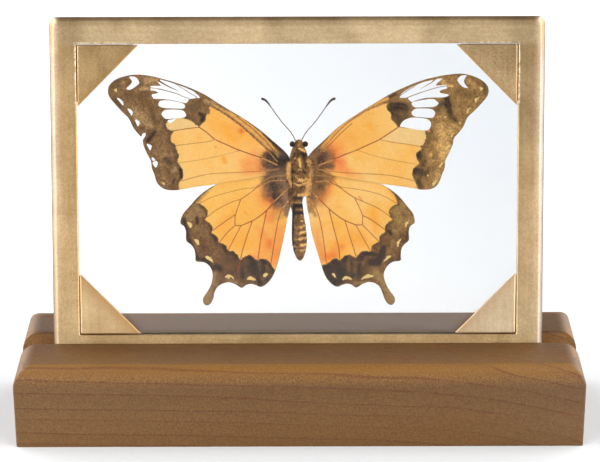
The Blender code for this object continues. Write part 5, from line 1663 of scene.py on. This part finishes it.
def add_leg(verts, faces, side, root_y):
    """One leg folded under the thorax."""
    corners = np.cumsum([(LEG_ROOT_X, root_y), *LEG_BONES], axis=0)
    knees = np.arange(len(corners))
    along = np.linspace(0, knees[-1], knees[-1] * LEG_STEPS + 1)
    x, y = (np.interp(along, knees, corners[:, axis]) for axis in (0, 1))
    z = np.interp(along, knees, [LEG_DEPTH / 2] + [LEG_DEPTH] * len(LEG_BONES))
    path = [Vector(point) for point in zip(BUTTERFLY_X + side * x, y, z)]
    radii = np.interp(along, knees, LEG_RADII)
    first = len(verts)
    verts += [tuple(point) for point in tube_rings(path, radii.tolist(), LEG_SIDES)]
    faces += tube_faces(len(path), LEG_SIDES, first)


def add_spike(verts, faces, root, tip, width):
    """A fine closed spike from root to tip."""
    across = (tip - root).cross(Vector((0, 0, 1))).normalized() * width
    first = len(verts)
    verts += [tuple(root + across), tuple(root - across), tuple(root + Vector((0, 0, width))), tuple(tip)]
    faces += [(first, first + 1, first + 3), (first + 1, first + 2, first + 3),
              (first + 2, first, first + 3), (first, first + 2, first + 1)]


def add_hairs(verts, faces):
    """Hairs that lie back along the thorax and stand out at its sides."""
    draw = np.random.default_rng(SEED)
    for _ in range(HAIR_COUNT):
        y = draw.uniform(*HAIR_SPAN)
        width, depth = body_profile(y)
        angle = draw.uniform(0, 2 * math.pi)
        x, z = width * math.cos(angle), depth * math.sin(angle)
        aside = math.cos(angle) * draw.uniform(0.1, 0.7)
        outward = Vector((aside, draw.uniform(-1.3, -0.5), 0.12 * math.sin(angle)))
        length = draw.uniform(*HAIR_LENGTH)
        root = Vector((body_middle(y) + x * 0.97, y, z * 0.97))
        tip = root + outward.normalized() * length
        tip.z = max(min(tip.z, 1.0), -1.0)
        add_spike(verts, faces, root, tip, HAIR_WIDTH)


def add_fringes(verts, faces):
    """Hairs that reach from the sides of the body out over the roots of the wings."""
    draw = np.random.default_rng(SEED + 1)
    for start_x, end_x, start_y, end_y, count in FRINGES:
        for _ in range(count):
            y = draw.uniform(end_y, start_y)
            height = draw.uniform(0.64, 0.86) if y > HINDWING_TOP else draw.uniform(0.04, 0.16)
            reach = (end_x - start_x) * min(1.0, 0.3 + (y - FRINGE_END) / 4)
            root = Vector((BUTTERFLY_X + start_x + reach * draw.uniform(0, 0.25), y, height))
            tip = root + Vector((reach * draw.uniform(0.5, 1.0), draw.uniform(-0.9, 0.1), 0.05))
            add_spike(verts, faces, root, tip, FRINGE_WIDTH)


def make_body():
    """Head, thorax and abdomen as one furred skin, with eyes, legs and fine hairs."""
    verts = []
    faces = []
    add_trunk(verts, faces)
    eyes = []
    for side in (-1, 1):
        eyes.append(add_eye(verts, faces, side))
        for root_y in LEG_ROOTS:
            add_leg(verts, faces, side, root_y)
    add_hairs(verts, faces)
    first_fringe = len(verts)
    add_fringes(verts, faces)
    mesh = mesh_from("furry_body", verts, faces)
    flat = np.array(verts)[:, :2] - (BUTTERFLY_X, 0)
    dark = soft_strokes(flat, DARK_MARK_AND_SHADE_STROKES)
    dark[first_fringe:] *= FRINGE_DARKNESS
    is_eye = np.zeros(len(verts))
    for eye in eyes:
        is_eye[eye] = 1.0
    store(mesh, "gold", soft_strokes(flat, GOLD_STROKES))
    store(mesh, "dark", dark)
    store(mesh, "eye", is_eye)
    add_piece("furry_body", mesh, [body_finish()], "butterfly_body")


# ---------------------------------------------------------------- floor, light and camera

SIDE_WALLS = (0.26, 0.6)  # how far aside a direction points where the light walls begin and are full
LOW_STRIP = (0.1, 0.22)  # how far up the low light in front fades out
DIM_LIGHT = 0.28
LOW_LIGHT = 0.95
WALL_LIGHT = 4.6
FLOOR_HALF = 4.0  # metres
CAMERA_PLACE = (0.00027, -0.64322, 0.34758)  # metres
CAMERA_TILT = math.radians(66.501)
CAMERA_ROLL = math.radians(-0.1447)
CAMERA_LENS = 126.27


def make_floor():
    corners = [(right * FLOOR_HALF, up * FLOOR_HALF, 0) for right, up in QUARTERS]
    mesh = mesh_from("floor", corners, [(0, 1, 2, 3)])
    floor = bpy.data.objects.new("floor", mesh)
    finish = Finish("pale_floor", Roughness=0.9, Specular_IOR_Level=0.2)
    mesh.materials.append(finish.use(paint(194, 195, 196)))
    bpy.context.scene.collection.objects.link(floor)


def make_lighting():
    """A white studio with a dim strip between bright side walls, so that the glass stays clear."""
    world = bpy.data.worlds.new("white studio")
    bpy.context.scene.world = world
    world.use_nodes = True
    tree = world.node_tree

    def fade(value, low_high, start_end):
        node = tree.nodes.new("ShaderNodeMapRange")
        node.interpolation_type = "SMOOTHSTEP"
        tree.links.new(value, node.inputs["Value"])
        node.inputs["From Min"].default_value, node.inputs["From Max"].default_value = low_high
        node.inputs["To Min"].default_value, node.inputs["To Max"].default_value = start_end
        return node.outputs[0]

    def combine(operation, *values):
        node = tree.nodes.new("ShaderNodeMath")
        node.operation = operation
        for socket, value in zip(node.inputs, values):
            tree.links.new(value, socket)
        return node.outputs[0]

    direction = tree.nodes.new("ShaderNodeSeparateXYZ")
    tree.links.new(tree.nodes.new("ShaderNodeTexCoord").outputs["Generated"], direction.inputs[0])
    low = fade(direction.outputs["Z"], LOW_STRIP, (LOW_LIGHT, DIM_LIGHT))
    walls = fade(combine("ABSOLUTE", direction.outputs["X"]), SIDE_WALLS, (DIM_LIGHT, WALL_LIGHT))
    background = tree.nodes["Background"]
    background.inputs["Color"].default_value = (1.0, 1.0, 1.0, 1.0)
    tree.links.new(combine("MAXIMUM", low, walls), background.inputs["Strength"])


def make_camera():
    data = bpy.data.cameras.new("camera")
    data.lens = CAMERA_LENS
    data.sensor_width = 36.0
    camera = bpy.data.objects.new("camera", data)
    turn = Matrix.Rotation(CAMERA_TILT, 4, "X") @ Matrix.Rotation(CAMERA_ROLL, 4, "Z")
    camera.matrix_world = Matrix.Translation(CAMERA_PLACE) @ turn
    bpy.context.scene.collection.objects.link(camera)
    bpy.context.scene.camera = camera
    bpy.context.scene.view_settings.view_transform = "Standard"


def main():
    make_camera()
    make_lighting()
    make_floor()
    make_wood_block()
    make_brass_surround()
    make_corner_plates()
    make_panes()
    make_wings()
    make_antennae()
    make_body()


main()
